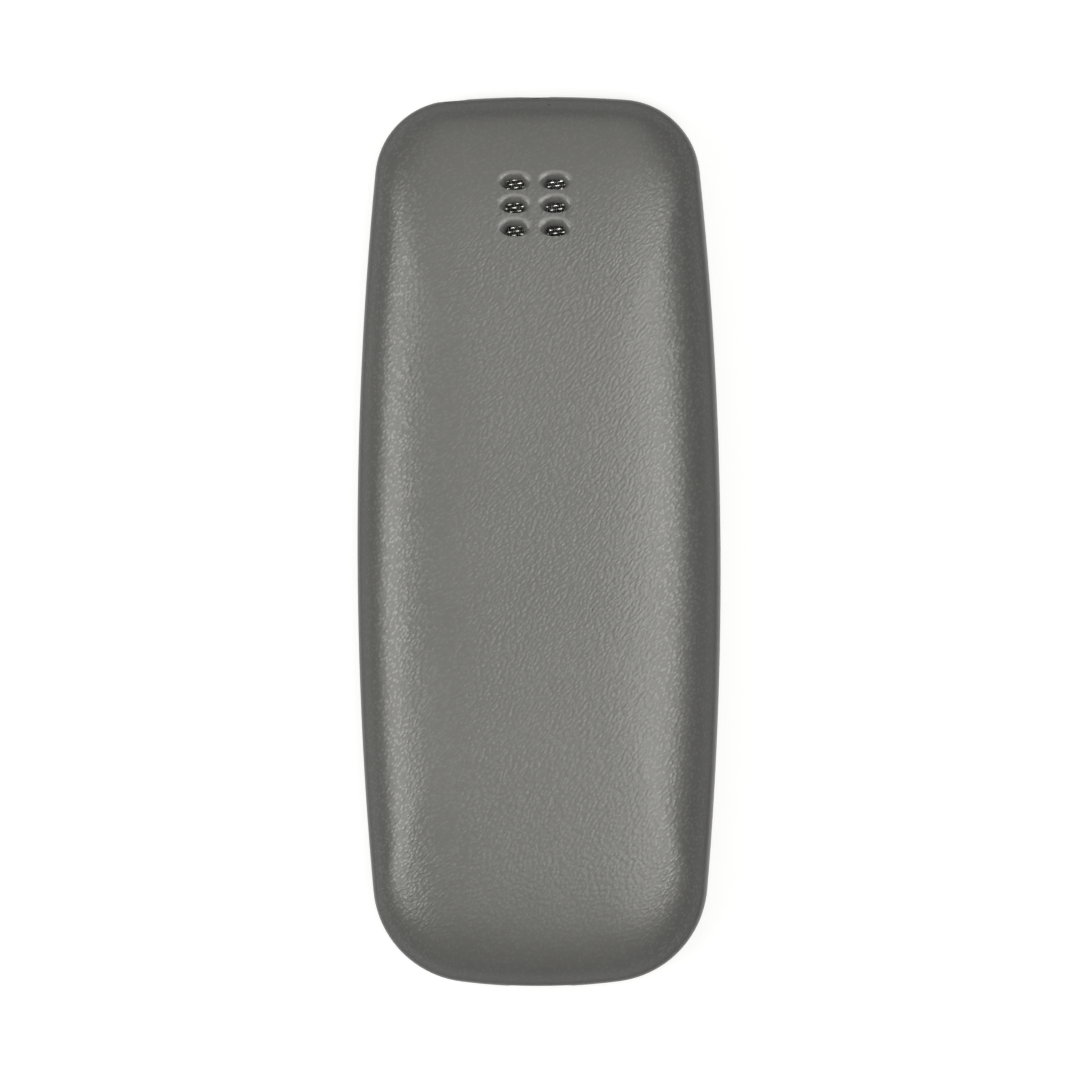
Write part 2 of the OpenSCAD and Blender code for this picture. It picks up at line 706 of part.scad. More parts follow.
// Key with a crowned top, a flange behind the plate and a stem over its dome
module press_key(x, y, w, h) {
    union() {
        intersection() {
            translate([x, y, 0]) plate(w, h, key_round, key_recess - 0.5, flange_z + 0.6 - key_recess);
            translate([x, y - h, key_recess + key_crown_radius]) rotate([-90, 0, 0])
                cylinder(r = key_crown_radius, h = 2 * h, $fn = 360);
        }
        translate([x, y, 0]) plate(w + 2 * flange_overhang, h + 2 * flange_overhang,
            key_round + flange_overhang, flange_z, flange_thickness);
        key_stem(x, y);
    }
}

module number_key(column, row) {
    color("#3a3b3f") press_key((1 - column) * column_pitch, row_y[row], key_width, key_height);
}

module side_key(column, row) {
    color("#3a3b3f") press_key((1 - column) * side_key_x, side_y[row], side_key_width, key_height);
}

module key_1() { number_key(0, 0); }
module key_2() { number_key(1, 0); }
module key_3() { number_key(2, 0); }
module key_4() { number_key(0, 1); }
module key_5() { number_key(1, 1); }
module key_6() { number_key(2, 1); }
module key_7() { number_key(0, 2); }
module key_8() { number_key(1, 2); }
module key_9() { number_key(2, 2); }
module key_star() { number_key(0, 3); }
module key_0() { number_key(1, 3); }
module key_hash() { number_key(2, 3); }
module soft_key_left() { side_key(0, 0); }
module soft_key_right() { side_key(2, 0); }
module call_key() { side_key(0, 1); }
module end_key() { side_key(2, 1); }

// Carrier that rocks end to end on two trunnions and presses the upper and lower domes
module nav_carrier() {
    color("#4a4b50") translate([0, nav_y, 0]) {
        difference() {
            plate(carrier_width, carrier_height, nav_round - 0.3, carrier_z, carrier_t);
            post(0, 0, carrier_z - 1, carrier_z + 2, stem_diameter + 2.2);
            for (s = [-1, 1]) post(s * nav_reach_x, 0, carrier_z - 1, carrier_z + 2, nub_diameter + 1);
        }
        for (s = [-1, 1]) post(0, s * nav_reach_y, carrier_z + 0.1, nav_nub_end, nub_diameter);
        for (s = [-1, 1]) along_x(s > 0 ? carrier_width / 2 - 0.6 : -carrier_width / 2 - 1.5, 0,
            carrier_pivot_z, pin_diameter, 2.1);
    }
}

// Navigation ring that rocks side to side on the carrier and presses the left and right domes
module nav_ring() {
    color("#3f4045") translate([0, nav_y, 0]) {
        difference() {
            union() {
                plate(nav_width, nav_height, nav_round, nav_top, nav_bottom - nav_top);
                plate(nav_width + 2 * flange_overhang, nav_height + 2 * flange_overhang,
                    nav_round + flange_overhang, nav_flange_z, nav_bottom - nav_flange_z);
                for (s = [-1, 1]) along_y(0, s > 0 ? rocker_start : -rocker_end, nav_bottom,
                    2 * rocker_radius, rocker_end - rocker_start);
            }
            plate(select_size + 2 * select_gap, select_size + 2 * select_gap,
                select_size * 0.4 + select_gap, nav_top - 1, nav_bottom + 1);
        }
        for (s = [-1, 1]) post(s * nav_reach_x, 0, nav_bottom - 0.1, nav_nub_end, nub_diameter);
    }
}

// Select key inside the ring
module select_key() {
    color("#3a3b3f") translate([0, nav_y, 0]) {
        intersection() {
            plate(select_size, select_size, select_size * 0.4, nav_top - 0.6,
                plate_thickness + 0.55 - nav_top + 0.6);
            translate([0, -select_size, nav_top - 0.1 + key_crown_radius]) rotate([-90, 0, 0])
                cylinder(r = key_crown_radius, h = 2 * select_size, $fn = 360);
        }
        post(0, 0, plate_thickness + 0.4, stem_end, stem_diameter);
    }
}

// Rubber web that guides the stems and stands off the plate on posts
module key_web() {
    color("#5b5d60") union() {
        difference() {
            intersection() {
                prism(cavity_inset + 0.4, web_z, web_z + web_thickness);
                block(-half_width, half_width, web_low_y, web_top_y, 0, 9);
            }
            for (c = [-1:1], y = row_y) post(c * column_pitch, y, 0, 9, stem_diameter + 2 * key_gap);
            for (s = [-1, 1], y = side_y) post(s * side_key_x, y, 0, 9, stem_diameter + 2 * key_gap);
            translate([0, nav_y, 0]) plate(nav_width + 2 * flange_overhang + 0.4,
                nav_height + 2 * flange_overhang + 0.4, nav_round + flange_overhang + 0.2, 0, 9);
            block(-carrier_width / 2 - 2, carrier_width / 2 + 2, nav_y - 0.6, nav_y + 0.6, 0, 9);
        }
        for (s = [-1, 1], i = [0:2])
            post(s * column_pitch / 2, (row_y[i] + row_y[i + 1]) / 2, plate_thickness, web_z + 0.1, 1.4);
    }
}

module dome(x, y, d) {
    r = (d * d / 4 + dome_height * dome_height) / (2 * dome_height);
    translate([x, y]) rotate_extrude() intersection() {
        translate([0, dome_z + r]) circle(r, $fn = 180);
        translate([0, dome_z - 0.1]) square([d / 2, dome_height + 0.1]);
    }
}

// Film that holds the snap domes on the board
module dome_film() {
    color("#d8c89a") intersection() {
        prism(cavity_inset + 1.4, film_z, board_z);
        block(-half_width, half_width, web_low_y, web_top_y, 0, 9);
    }
}

// Snap domes, one under each key and each edge of the ring
module snap_domes() {
    color("#cfd2d6") {
        for (c = [-1:1], y = row_y) dome(c * column_pitch, y, dome_diameter);
        for (s = [-1, 1], y = side_y) dome(s * side_key_x, y, dome_diameter);
        dome(0, nav_y, dome_diameter);
        for (s = [-1, 1]) dome(s * nav_reach_x, nav_y, nav_dome);
        for (s = [-1, 1]) dome(0, nav_y + s * nav_reach_y, nav_dome);
    }
}

// Circuit board
module main_board() {
    color("#1f5a3c") difference() {
        prism(cavity_inset + 0.6, board_z, board_back);
        each_screw() post(0, 0, 0, 9, screw_diameter + 0.4);
        block(-jack_x - jack_width / 2 - 0.3, -jack_x + jack_width / 2 + 0.3,
            nose_y - jack_depth - 1.5, half_length + 1, 0, 9);
    }
}

module shield_can(y0, y1) {
    color("#b9bcc0") difference() {
        block(-shield_width / 2, shield_width / 2, y0, y1, board_back, board_back + shield_height);
        block(-shield_width / 2 + shield_wall, shield_width / 2 - shield_wall, y0 + shield_wall,
            y1 - shield_wall, board_back - 1, board_back + shield_height - shield_wall);
    }
}

// Shield can over the radio
module rf_shield() { shield_can(rf_low, rf_low + rf_length); }

// Shield can over the processor
module processor_shield() { shield_can(processor_low, processor_low + processor_length); }

// Card holder with an open mouth toward the battery
module card_holder(x) {
    w = card_holder_width / 2;
    low = card_y - card_holder_length / 2;
    high = card_y + card_holder_length / 2;
    top = board_back + card_holder_height;
    color("#aeb2b6") difference() {
        block(x - w, x + w, low, high, board_back, top);
        block(x - w + 0.6, x + w - 0.6, low - 1, high - 1, board_back + 0.3, top - 0.3);
        block(x - w + 3, x + w - 3, low + 4, high - 4, top - 1, top + 1);
        block(x - w + 2.4, x + w - 2.4, low - 1, low + 2, top - 1, top + 1);
    }
}

module card_holder_left() { card_holder(card_x); }
module card_holder_right() { card_holder(-card_x); }

// Block that carries the battery springs
module battery_connector() {
    color("#26282b") difference() {
        block(-connector_width / 2, connector_width / 2, bay_low - connector_depth - 0.3, bay_low - 0.3,
            board_back, battery_z + 3.9);
        for (i = [-contact_pitch, 0, contact_pitch])
            block(i - 0.7, i + 0.7, bay_low - 1.5, bay_low, battery_z + 0.2, battery_z + 5);
    }
}

// Three leaf springs bent toward the battery
module battery_springs() {
    tip = battery_low - 0.04;
    back = bay_low - 1.35;
    color("#d0a548") for (i = [-contact_pitch, 0, contact_pitch])
        translate([i - 0.5, 0, 0]) rotate([90, 0, 90]) linear_extrude(1)
            polygon([[back, battery_z + 0.4], [back + 0.15, battery_z + 0.4], [tip, battery_z + 2.2],
                [tip, battery_z + 2.5], [back + 0.15, battery_z + 3.8], [back, battery_z + 3.7],
                [tip - 0.25, battery_z + 2.35], [back, battery_z + 0.7]]);
}

// Charging port: pressed shell with a contact tongue
module usb_port() {
    mouth = -end_face;
    color("#c4c7cb") union() {
        difference() {
            usb_prism(0, mouth, mouth + usb_depth);
            usb_prism(-0.35, mouth - 1, mouth + usb_depth - 0.5);
        }
        block(-1.9, 1.9, mouth + 1.1, mouth + usb_depth - 0.3,
            board_back + usb_height - 1.35, board_back + usb_height - 0.75);
    }
}

// Headphone socket with a round nose and a plain bore
module headphone_jack() {
    nose = nose_y;
    color("#1a1b1d") difference() {
        union() {
            block(-jack_x - jack_width / 2, -jack_x + jack_width / 2, nose - jack_depth - 1, nose - 3.2,
                port_z - 2.4, port_z + 2.4);
            along_y(-jack_x, nose - 4, port_z, jack_bore + 2 * jack_nose_wall, 4);
        }
        along_y(-jack_x, nose - jack_depth, port_z, jack_bore, jack_depth + 1);
    }
}

// Loudspeaker with a raised frame round its cone
module loudspeaker() {
    r = 14;
    color("#17181a") translate([0, speaker_y, 0]) difference() {
        plate(speaker_width, speaker_length, 2, speaker_z, speaker_thickness);
        plate(speaker_width - 3, speaker_length - 3, 2.4, speaker_z + speaker_thickness - 0.7, 2);
    }
    color("#2b2c2e") translate([0, speaker_y, speaker_z + speaker_thickness - 0.8]) intersection() {
        cylinder(d = speaker_length - 5, h = 2);
        translate([0, 0, 0.6 - r]) sphere(r);
    }
}

// Foam seal between the loudspeaker and the cover
module speaker_seal() {
    low = speaker_z + speaker_thickness;
    color("#3c3c3c") translate([0, speaker_y, low]) linear_extrude(seal_t) difference() {
        rounded(speaker_width - 0.4, speaker_length - 0.4, 2);
        rounded(speaker_width - 2.8, speaker_length - 2.8, 2);
    }
}

// Earpiece behind the slot in the front plate
module earpiece() {
    color("#2a2b2d") translate([0, earpiece_y, 0])
        plate(earpiece_width, earpiece_length, 1.2, plate_thickness + ear_mesh_thickness + part_gap / 2,
            board_z - plate_thickness - ear_mesh_thickness - part_gap * 1.5);
}

// Dust mesh behind the earpiece slot
module earpiece_mesh() {
    w = ear_slot_width + 2 * ear_mesh_rim;
    step = ear_slot_width / 16;
    color("#8b8e92") translate([0, earpiece_y, plate_thickness]) linear_extrude(ear_mesh_thickness)
        difference() {
            rounded(w, ear_slot_height + 2 * ear_mesh_rim, 1);
            for (i = [-7:7], j = [-1:1]) translate([i, j] * step) square(step * 0.45, center = true);
        }
}

// Microphone on the board
module microphone() {
    color("#b5b8bc") post(0, microphone_y, board_z - 1.1, board_z, microphone_diameter);
}

// Rubber boot that leads sound from the plate to the microphone
module microphone_boot() {
    color("#2c2c2c") difference() {
        post(0, microphone_y, plate_thickness, board_z - 1.1, microphone_diameter);
        post(0, microphone_y, 0, 9, 1.4);
    }
}

// Vibration motor on a foot
module vibration_motor() {
    color("#c2c5c9") union() {
        along_x(-motor_x - motor_length, motor_y, motor_z, motor_diameter, motor_length);
        along_x(-weight_x - weight_length, motor_y, motor_z, shaft_diameter, motor_length + weight_length);
        block(-motor_x - motor_length + 0.8, -motor_x - 0.8, motor_y - 1.4, motor_y + 1.4,
            board_back, motor_z - 0.6);
    }
}

// Off-centre weight on the motor shaft
module vibration_weight() {
    color("#8f8a7c") difference() {
        intersection() {
            along_x(-weight_x - weight_length + 0.2, motor_y, motor_z, motor_diameter, weight_length - 0.2);
            block(-weight_x - weight_length, -weight_x, motor_y - 3, motor_y + 3, motor_z - 3, motor_z + 0.7);
        }
        along_x(-weight_x - weight_length - 1, motor_y, motor_z, shaft_diameter + 0.04, weight_length + 2);
    }
}

// Light source of the torch
module torch_led() {
    color("#e6e2b8") block(-1.5, 1.5, half_length - 5.4, half_length - 4, board_back, port_z + 0.7);
}

// Clear lens of the torch
module torch_lens() {
    color("#e4eef2") along_y(0, half_length - 3.9, port_z, torch_diameter, 3.8 - frame_inset);
}

// Bent copper pattern on the shelf of the frame
module antenna() {
    low = -half_length + antenna_from_bottom;
    high = bay_low - shelf_wall - 1.1;
    color("#b87b3d") translate([-antenna_trace / 2, 0, shelf_top]) linear_extrude(antenna_thickness) {
        for (i = [-2:2]) translate([i * antenna_pitch, low]) square([antenna_trace, high - low]);
        for (i = [-2:1]) translate([i * antenna_pitch, i % 2 == 0 ? low : high - antenna_trace])
            square([antenna_pitch + antenna_trace, antenna_trace]);
    }
}

// Frame between the board and the cover: bays, rails, shelf, screw columns
module frame() {
    fill = pillow(frame_inset, [0, 6, 14, 24, 34, 44, 54, 64, 74, 84]);
    shelf_y = bay_low - shelf_wall;
    color("#3d4045") difference() {
        union() {
            difference() {
                intersection() {
                    loft(concat([ring(frame_inset, belt_z - 2)], fill));
                    union() {
                        block(-half_width, half_width, -half_length, shelf_y, tongue_top, shelf_top);
                        block(-half_width, half_width, shelf_y - 1, bay_end + 1, tongue_top, rail_top);
                        block(-half_width, half_width, bay_end, half_length, tongue_top,
                            speaker_z + speaker_thickness - 0.2);
                    }
                }
                difference() {
                    union() {
                        prism(cavity_inset + 0.3, tongue_top - 1, floor_z);
                        intersection() {
                            prism(cavity_inset + 1.4, tongue_top - 1, shelf_top - 1);
                            block(-half_width, half_width, -half_length, shelf_y, 0, 20);
                        }
                    }
                    each_screw() post(0, 0, 0, 20, boss_diameter + 0.4);
                }
            }
            intersection() {
                each_screw() post(0, 0, board_back, tongue_top + 0.2, boss_diameter);
                union() {
                    prism(cavity_inset + part_gap, board_back - 1, tongue_top);
                    prism(frame_inset + cover_gap, tongue_top, tongue_top + 1);
                }
            }
        }
        each_screw() {
            post(0, 0, 0, 20, screw_diameter + 0.4);
            post(0, 0, head_z, 20, screw_head + 0.5);
        }
        block(-bay_half, bay_half, bay_low, bay_high, floor_top, 20);
        block(-bay_half, bay_half, bay_high + 1.2, bay_end, floor_top, 20);
        block(-bay_half, bay_half, bay_high - 1, bay_end, floor_top + 1.8, 20);
        block(-card_x - card_holder_width / 2 - 0.3, card_x + card_holder_width / 2 + 0.3,
            card_y - card_holder_length / 2 - 0.3, card_y + card_holder_length / 2 + 0.3, 0, 20);
        block(-connector_width / 2 - 0.2, connector_width / 2 + 0.2, bay_low - connector_depth - 0.5,
            bay_low + 1, 0, 20);
        translate([0, speaker_y, 0])
            plate(speaker_width + 2 * part_gap, speaker_length + 2 * part_gap, 2, speaker_z, 9);
        block(-jack_x - jack_width / 2 - 0.2, -jack_x + jack_width / 2 + 0.2,
            nose_y - jack_depth - 1.3, half_length + 1, 0, port_z + 2.6);
        block(-1.8, 1.8, half_length - 5.8, half_length - 3.6, 0, port_z + 1.6);
        along_y(0, half_length - 4, port_z, torch_diameter + 2 * part_gap, 9);
        usb_prism(part_gap * 2, -half_length - 1, -end_face + usb_depth + 1);
        for (y = tab_places, s = [-1, 1]) translate([s * side_x(y), y, 0]) mirror([s < 0 ? 1 : 0, 0, 0])
            block(-cover_wall - tab_depth - cover_gap, 3, -tab_length / 2 - cover_gap,
                tab_length / 2 + cover_gap, tongue_top + 0.4, 20);
        for (s = [-1, 1]) {
            for (e = [[tab_places[0] + 5, tab_places[1] - 5], [tab_places[1] + 5, screw_places[1][1] - 3.8],
                [screw_places[1][1] + 3.8, tab_places[2] - 5], [tab_places[2] + 5, tab_places[3] - 5]])
                block(s > 0 ? bay_half + 1 : -bay_half - 2.7, s > 0 ? bay_half + 2.7 : -bay_half - 1,
                    e[0], e[1], floor_top + 1, 20);
        }
    }
}

// Six screws that hold the frame and the board to the front half
module frame_screws() {
    color("#9a9da1") each_screw() difference() {
        union() {
            post(0, 0, plate_thickness + 0.9, head_z + 0.1, screw_diameter);
            post(0, 0, head_z, head_z + 0.9, screw_head);
        }
        for (a = [0, 90]) rotate([0, 0, a]) block(-0.85, 0.85, -0.2, 0.2, head_z + 0.45, head_z + 2);
    }
}

back_cover();
speaker_mesh();
battery_cell();
battery_cap();
battery_terminals();
front_shell();
display_window();
lcd_foam();
lcd_panel();
backlight_tray();
display_flex();
key_web();
nav_carrier();
nav_ring();
select_key();
soft_key_left();
soft_key_right();
call_key();
end_key();
key_1();
key_2();
key_3();
key_4();
key_5();
key_6();
key_7();
key_8();
key_9();
key_star();
key_0();
key_hash();
dome_film();
snap_domes();
main_board();
rf_shield();
processor_shield();
card_holder_left();
card_holder_right();
battery_connector();
battery_springs();
usb_port();
headphone_jack();
loudspeaker();
speaker_seal();
earpiece();
earpiece_mesh();
microphone();
microphone_boot();
vibration_motor();
vibration_weight();
torch_led();
torch_lens();
antenna();
frame();
frame_screws();
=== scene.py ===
# %% [markdown]
# # A bar feature phone, lying on its face
#
# The phone is a handful of moulded shells round a battery, a board and a keypad.
# Its imported solids give every size and place. This lesson dresses them: each
# shell is modelled again with its soft edges, and each surface gets a finish.
# The frame is loaded first. The finished model has to stay inside it.

# %% Load the frame
import json
import math
import bmesh
import bpy
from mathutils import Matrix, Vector, kdtree

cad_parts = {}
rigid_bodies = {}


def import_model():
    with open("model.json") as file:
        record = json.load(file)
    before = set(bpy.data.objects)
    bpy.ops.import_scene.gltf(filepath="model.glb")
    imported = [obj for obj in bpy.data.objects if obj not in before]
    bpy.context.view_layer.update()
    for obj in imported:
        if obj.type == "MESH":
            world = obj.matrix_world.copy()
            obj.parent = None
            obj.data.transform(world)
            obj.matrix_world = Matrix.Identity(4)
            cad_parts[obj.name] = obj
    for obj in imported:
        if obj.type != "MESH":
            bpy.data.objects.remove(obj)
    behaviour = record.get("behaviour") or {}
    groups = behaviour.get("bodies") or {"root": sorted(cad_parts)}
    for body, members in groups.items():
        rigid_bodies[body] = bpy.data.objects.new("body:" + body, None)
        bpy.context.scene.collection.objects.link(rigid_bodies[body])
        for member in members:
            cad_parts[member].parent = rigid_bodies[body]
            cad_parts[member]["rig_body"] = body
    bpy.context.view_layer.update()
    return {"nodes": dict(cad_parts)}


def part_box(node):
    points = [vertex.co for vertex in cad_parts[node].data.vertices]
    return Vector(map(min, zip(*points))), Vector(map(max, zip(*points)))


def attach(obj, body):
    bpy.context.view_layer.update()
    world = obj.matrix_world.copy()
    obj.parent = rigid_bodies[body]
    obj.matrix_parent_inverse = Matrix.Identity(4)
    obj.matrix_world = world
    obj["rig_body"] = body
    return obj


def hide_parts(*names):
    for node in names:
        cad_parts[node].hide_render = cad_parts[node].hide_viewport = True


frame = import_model()
MM = 0.001
nodes = frame["nodes"]

# %% [markdown]
# ## Tools of the bench
#
# A few small helpers are used all the way. An operator acts on all that is
# selected, so two helpers clear the selection or leave a single piece in it.
# Most shells are made from rings: a circle with as many points as the outline is
# extruded from ring to ring, and each new ring is pushed onto its own outline.
# A hand would do the same with extrude and scale.


# %% Select, and build from rings
def nothing_selected():
    if bpy.context.mode != "OBJECT":
        bpy.ops.object.mode_set(mode="OBJECT")
    bpy.ops.object.select_all(action="DESELECT")


def only(piece):
    nothing_selected()
    piece.select_set(True)
    bpy.context.view_layer.objects.active = piece


def edit_all(piece):
    """Go into Edit Mode with the whole of one piece selected."""
    only(piece)
    bpy.ops.object.mode_set(mode="EDIT")
    bpy.ops.mesh.select_all(action="SELECT")


def finder(points):
    """A search tree that tells which of some points is the nearest."""
    tree = kdtree.KDTree(len(points))
    for i, point in enumerate(points):
        tree.insert(point, i)
    tree.balance()
    return tree


def push_onto(piece, ring, last_ring):
    """Move the selected points, which lie on last_ring, onto ring."""
    nearest = finder(last_ring)
    mesh = bmesh.from_edit_mesh(piece.data)
    for vertex in mesh.verts:
        if vertex.select:
            vertex.co = ring[nearest.find(vertex.co)[1]]
    bmesh.update_edit_mesh(piece.data)


def cap(piece, ring):
    """Close the open end that lies on ring."""
    nearest = finder(ring)
    bpy.ops.mesh.select_all(action="DESELECT")
    mesh = bmesh.from_edit_mesh(piece.data)
    for vertex in mesh.verts:
        vertex.select_set(nearest.find(vertex.co)[2] < 1e-7)
    mesh.select_flush(True)
    bmesh.update_edit_mesh(piece.data)
    bpy.ops.mesh.edge_face_add()


def stack_rings(name, rings):
    """Extrude a circle from ring to ring and close both ends."""
    nothing_selected()
    bpy.ops.mesh.primitive_circle_add(vertices=len(rings[0]), radius=1)
    piece = bpy.context.active_object
    piece.name = name
    start = [vertex.co.copy() for vertex in piece.data.vertices]
    edit_all(piece)
    push_onto(piece, rings[0], start)
    for last_ring, ring in zip(rings, rings[1:]):
        bpy.ops.mesh.extrude_region_move()
        push_onto(piece, ring, last_ring)
    cap(piece, rings[0])
    cap(piece, rings[-1])
    bpy.ops.mesh.select_all(action="SELECT")
    bpy.ops.mesh.normals_make_consistent(inside=False)
    bpy.ops.object.mode_set(mode="OBJECT")
    return piece


def modify(piece, kind, **settings):
    """Give a piece a modifier and apply it."""
    only(piece)
    bpy.ops.object.modifier_add(type=kind)
    modifier = piece.modifiers[-1]
    for name, value in settings.items():
        setattr(modifier, name, value)
    bpy.ops.object.modifier_apply(modifier=modifier.name)


def carve(piece, tool, operation="DIFFERENCE"):
    """Cut a tool out of a piece, or join it on, and put the tool away."""
    modify(piece, "BOOLEAN", operation=operation, solver="EXACT", object=tool)
    bpy.data.objects.remove(tool)


def smooth(piece, degrees):
    """Smooth all but sharp edges, and keep large flat faces flat."""
    only(piece)
    bpy.ops.object.shade_smooth_by_angle(angle=math.radians(degrees))
    modify(piece, "WEIGHTED_NORMAL", keep_sharp=True)


def dress(piece, finish, body, slot, *stood_for):
    """Give a finished piece its material and its body, and hide the nodes that it stands for. The slot is
    not used.
    """
    piece.data.materials.clear()
    piece.data.materials.append(finish)
    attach(piece, body)
    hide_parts(*stood_for)
    print(f"{piece.name}: {len(piece.data.polygons)} faces, rides on {body}")


print("tools are ready")

# %% [markdown]
# ## The outline of the body
#
# Seen from the back, the phone is four bowed sides with round corners that run
# into them without a kink. A corner's centre lies where two circles meet: one
# drawn in from the side's arc and one drawn in from the end's arc. The same
# rule, drawn in by an inset, gives the inner walls.

# %% Tangent arcs
half_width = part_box("back_cover")[1].x
half_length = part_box("back_cover")[1].y
widest_y = -2 * MM
side_radius = 510 * MM
top_end = {"end": 160 * MM, "corner": 10.6 * MM}
bottom_end = {"end": 82 * MM, "corner": 13.4 * MM}


def circles_meet(first, first_radius, second, second_radius):
    across = second - first
    distance = across.length
    along = (first_radius**2 - second_radius**2 + distance**2) / (2 * distance)
    height = math.sqrt(first_radius**2 - along**2)
    unit = across / distance
    return first + unit * along + Vector((-unit.y, unit.x)) * height


def arc(centre, radius, start, stop, steps):
    turns = [start + (stop - start) * i / steps for i in range(1, steps + 1)]
    return [centre + radius * Vector((math.cos(t), math.sin(t))) for t in turns]


def quarter(shape, widest, inset):
    side = Vector((half_width - side_radius, widest))
    end = Vector((0, half_length - shape["end"]))
    corner = circles_meet(side, side_radius - shape["corner"], end, shape["end"] - shape["corner"])
    first = math.atan2(*(corner - side).yx)
    second = math.atan2(*(corner - end).yx)
    points = [Vector((half_width - inset, widest))]
    points += arc(side, side_radius - inset, 0, first, 14)
    points += arc(corner, shape["corner"] - inset, first, second, 22)
    points += arc(end, shape["end"] - inset, second, math.pi / 2, 16)
    return points


def outline(inset):
    top = quarter(top_end, widest_y, inset)
    low = quarter(bottom_end, -widest_y, inset)
    points = top + [Vector((-p.x, p.y)) for p in top[-2::-1]]
    points += [Vector((-p.x, -p.y)) for p in low[1:]]
    points += [Vector((p.x, -p.y)) for p in low[-2:0:-1]]
    return points


def level(points, z):
    return [Vector((p.x, p.y, z)) for p in points]


print("outline points:", len(outline(0)))

# %% [markdown]
# ## The camera
#
# The phone is seen from above its back, from far away, so that its sides hardly
# show. A long lens gives that flat look. The camera stands a few degrees to the
# right, where it just catches the edge of the front half, and it's turned by a
# quarter of a degree, because the phone doesn't lie quite square in its picture.

# %% Camera above the back
view_width = 144.7 * MM
lens = 300
sensor = 36
roll = math.radians(-0.23)
lean_right = math.radians(2.7)
aim = Vector((0.08 * MM, 0, 4.5 * MM))
camera_height = view_width * lens / sensor
nothing_selected()
away = Vector((math.sin(lean_right), 0, math.cos(lean_right))) * camera_height
bpy.ops.object.camera_add(location=aim + away, rotation=(0, lean_right, roll))
camera = bpy.context.active_object
camera.data.lens = lens
camera.data.sensor_width = sensor
camera.data.clip_end = 20
bpy.context.scene.camera = camera
bpy.context.scene.view_settings.view_transform = "Standard"
print("camera height in m:", round(camera_height, 3))

# %% [markdown]
# ## Floor and room
#
# The floor is plain and pale. It takes the phone's soft shadow, and a little
# glow that only the camera, mirrors and glass see lifts the rest of it to
# white. The room is white down to the horizon and darker overhead, like a studio
# with a high ceiling. Both are small node trees, so a helper adds a node and
# feeds its inputs in one line.


# %% Pale floor and white surroundings
def feed(tree, node, inputs):
    """Link each input to another node's output, or set its value."""
    for name, value in inputs.items():
        if isinstance(value, bpy.types.NodeSocket):
            tree.links.new(value, node.inputs[name])
        else:
            node.inputs[name].default_value = value


def add_node(tree, kind, inputs, **settings):
    """A new node's outputs."""
    node = tree.nodes.new("ShaderNode" + kind)
    for name, value in settings.items():
        setattr(node, name, value)
    feed(tree, node, inputs)
    return node.outputs


def math_node(tree, operation, *values):
    return add_node(tree, "Math", dict(enumerate(values)), operation=operation)[0]


def times(tree, product, *factors):
    for factor in factors:
        product = math_node(tree, "MULTIPLY", product, factor)
    return product


def seen_directly(tree):
    """One for rays that come straight from the camera, a mirror or glass."""
    ray = add_node(tree, "LightPath", {})
    mirrored = math_node(tree, "MAXIMUM", ray["Is Camera Ray"], ray["Is Glossy Ray"])
    return math_node(tree, "MAXIMUM", mirrored, ray["Is Transmission Ray"])


def emptied_tree(owner):
    owner.use_nodes = True
    owner.node_tree.nodes.clear()
    return owner.node_tree


nothing_selected()
bpy.ops.mesh.primitive_plane_add(size=8, location=(0, 0, -0.02 * MM))
floor = bpy.context.active_object
floor.name = "floor"
floor_finish = bpy.data.materials.new("pale floor")
tree = emptied_tree(floor_finish)
matte = add_node(tree, "BsdfDiffuse", {"Color": (0.45, 0.45, 0.45, 1)})
glow = add_node(tree, "Emission", {"Strength": times(tree, seen_directly(tree), 0.7)})
both = add_node(tree, "AddShader", {0: matte[0], 1: glow[0]})
add_node(tree, "OutputMaterial", {"Surface": both[0]})
floor.data.materials.append(floor_finish)

world = bpy.data.worlds.new("white room")
bpy.context.scene.world = world
tree = emptied_tree(world)
direction = add_node(tree, "TexCoord", {})["Generated"]
height = add_node(tree, "SeparateXYZ", {0: direction})["Z"]
ceiling = {"From Min": 0, "From Max": 0.4, "To Min": 1, "To Max": 0.15}
paleness = add_node(tree, "MapRange", {"Value": height, **ceiling})["Result"]
fill = add_node(tree, "Background", {"Strength": 0.12})
white = add_node(tree, "Background", {"Color": paleness, "Strength": 1})
either = add_node(tree, "MixShader", {0: seen_directly(tree), 1: fill[0], 2: white[0]})
add_node(tree, "OutputWorld", {"Surface": either[0]})
print("floor and room are white")

# %% [markdown]
# ## Soft boxes
#
# Two long soft boxes stand left and right above the phone. Their reflections
# make the two bright bands along its shoulders. A weak one lights the top end,
# and another fills the middle of the back. Each is an area light that leans off
# straight up and faces the phone.

# %% Four soft boxes
lamp_distance = 0.7
lamp_shift = 0.06
lamp_colour = (1, 0.995, 0.94)


def soft_box(name, degrees, width, length, brightness, along_y=False):
    """An area light that leans off straight up, to a side or to the top end, and faces the phone."""
    lean = math.radians(degrees)
    nothing_selected()
    place = Vector((0, 1, 0) if along_y else (1, 0, 0)) * math.sin(lean) * lamp_distance
    place.z = math.cos(lean) * lamp_distance
    place.y -= 0 if along_y else lamp_shift
    turn = (-lean, 0, 0) if along_y else (0, lean, 0)
    bpy.ops.object.light_add(type="AREA", location=place, rotation=turn)
    lamp = bpy.context.active_object
    lamp.name = name
    lamp.data.shape = "RECTANGLE"
    lamp.data.color = lamp_colour
    lamp.data.size = width
    lamp.data.size_y = length
    lamp.data.energy = brightness * math.pi * width * length
    lamp.visible_camera = False
    print(name, "leans by", degrees, "degrees")


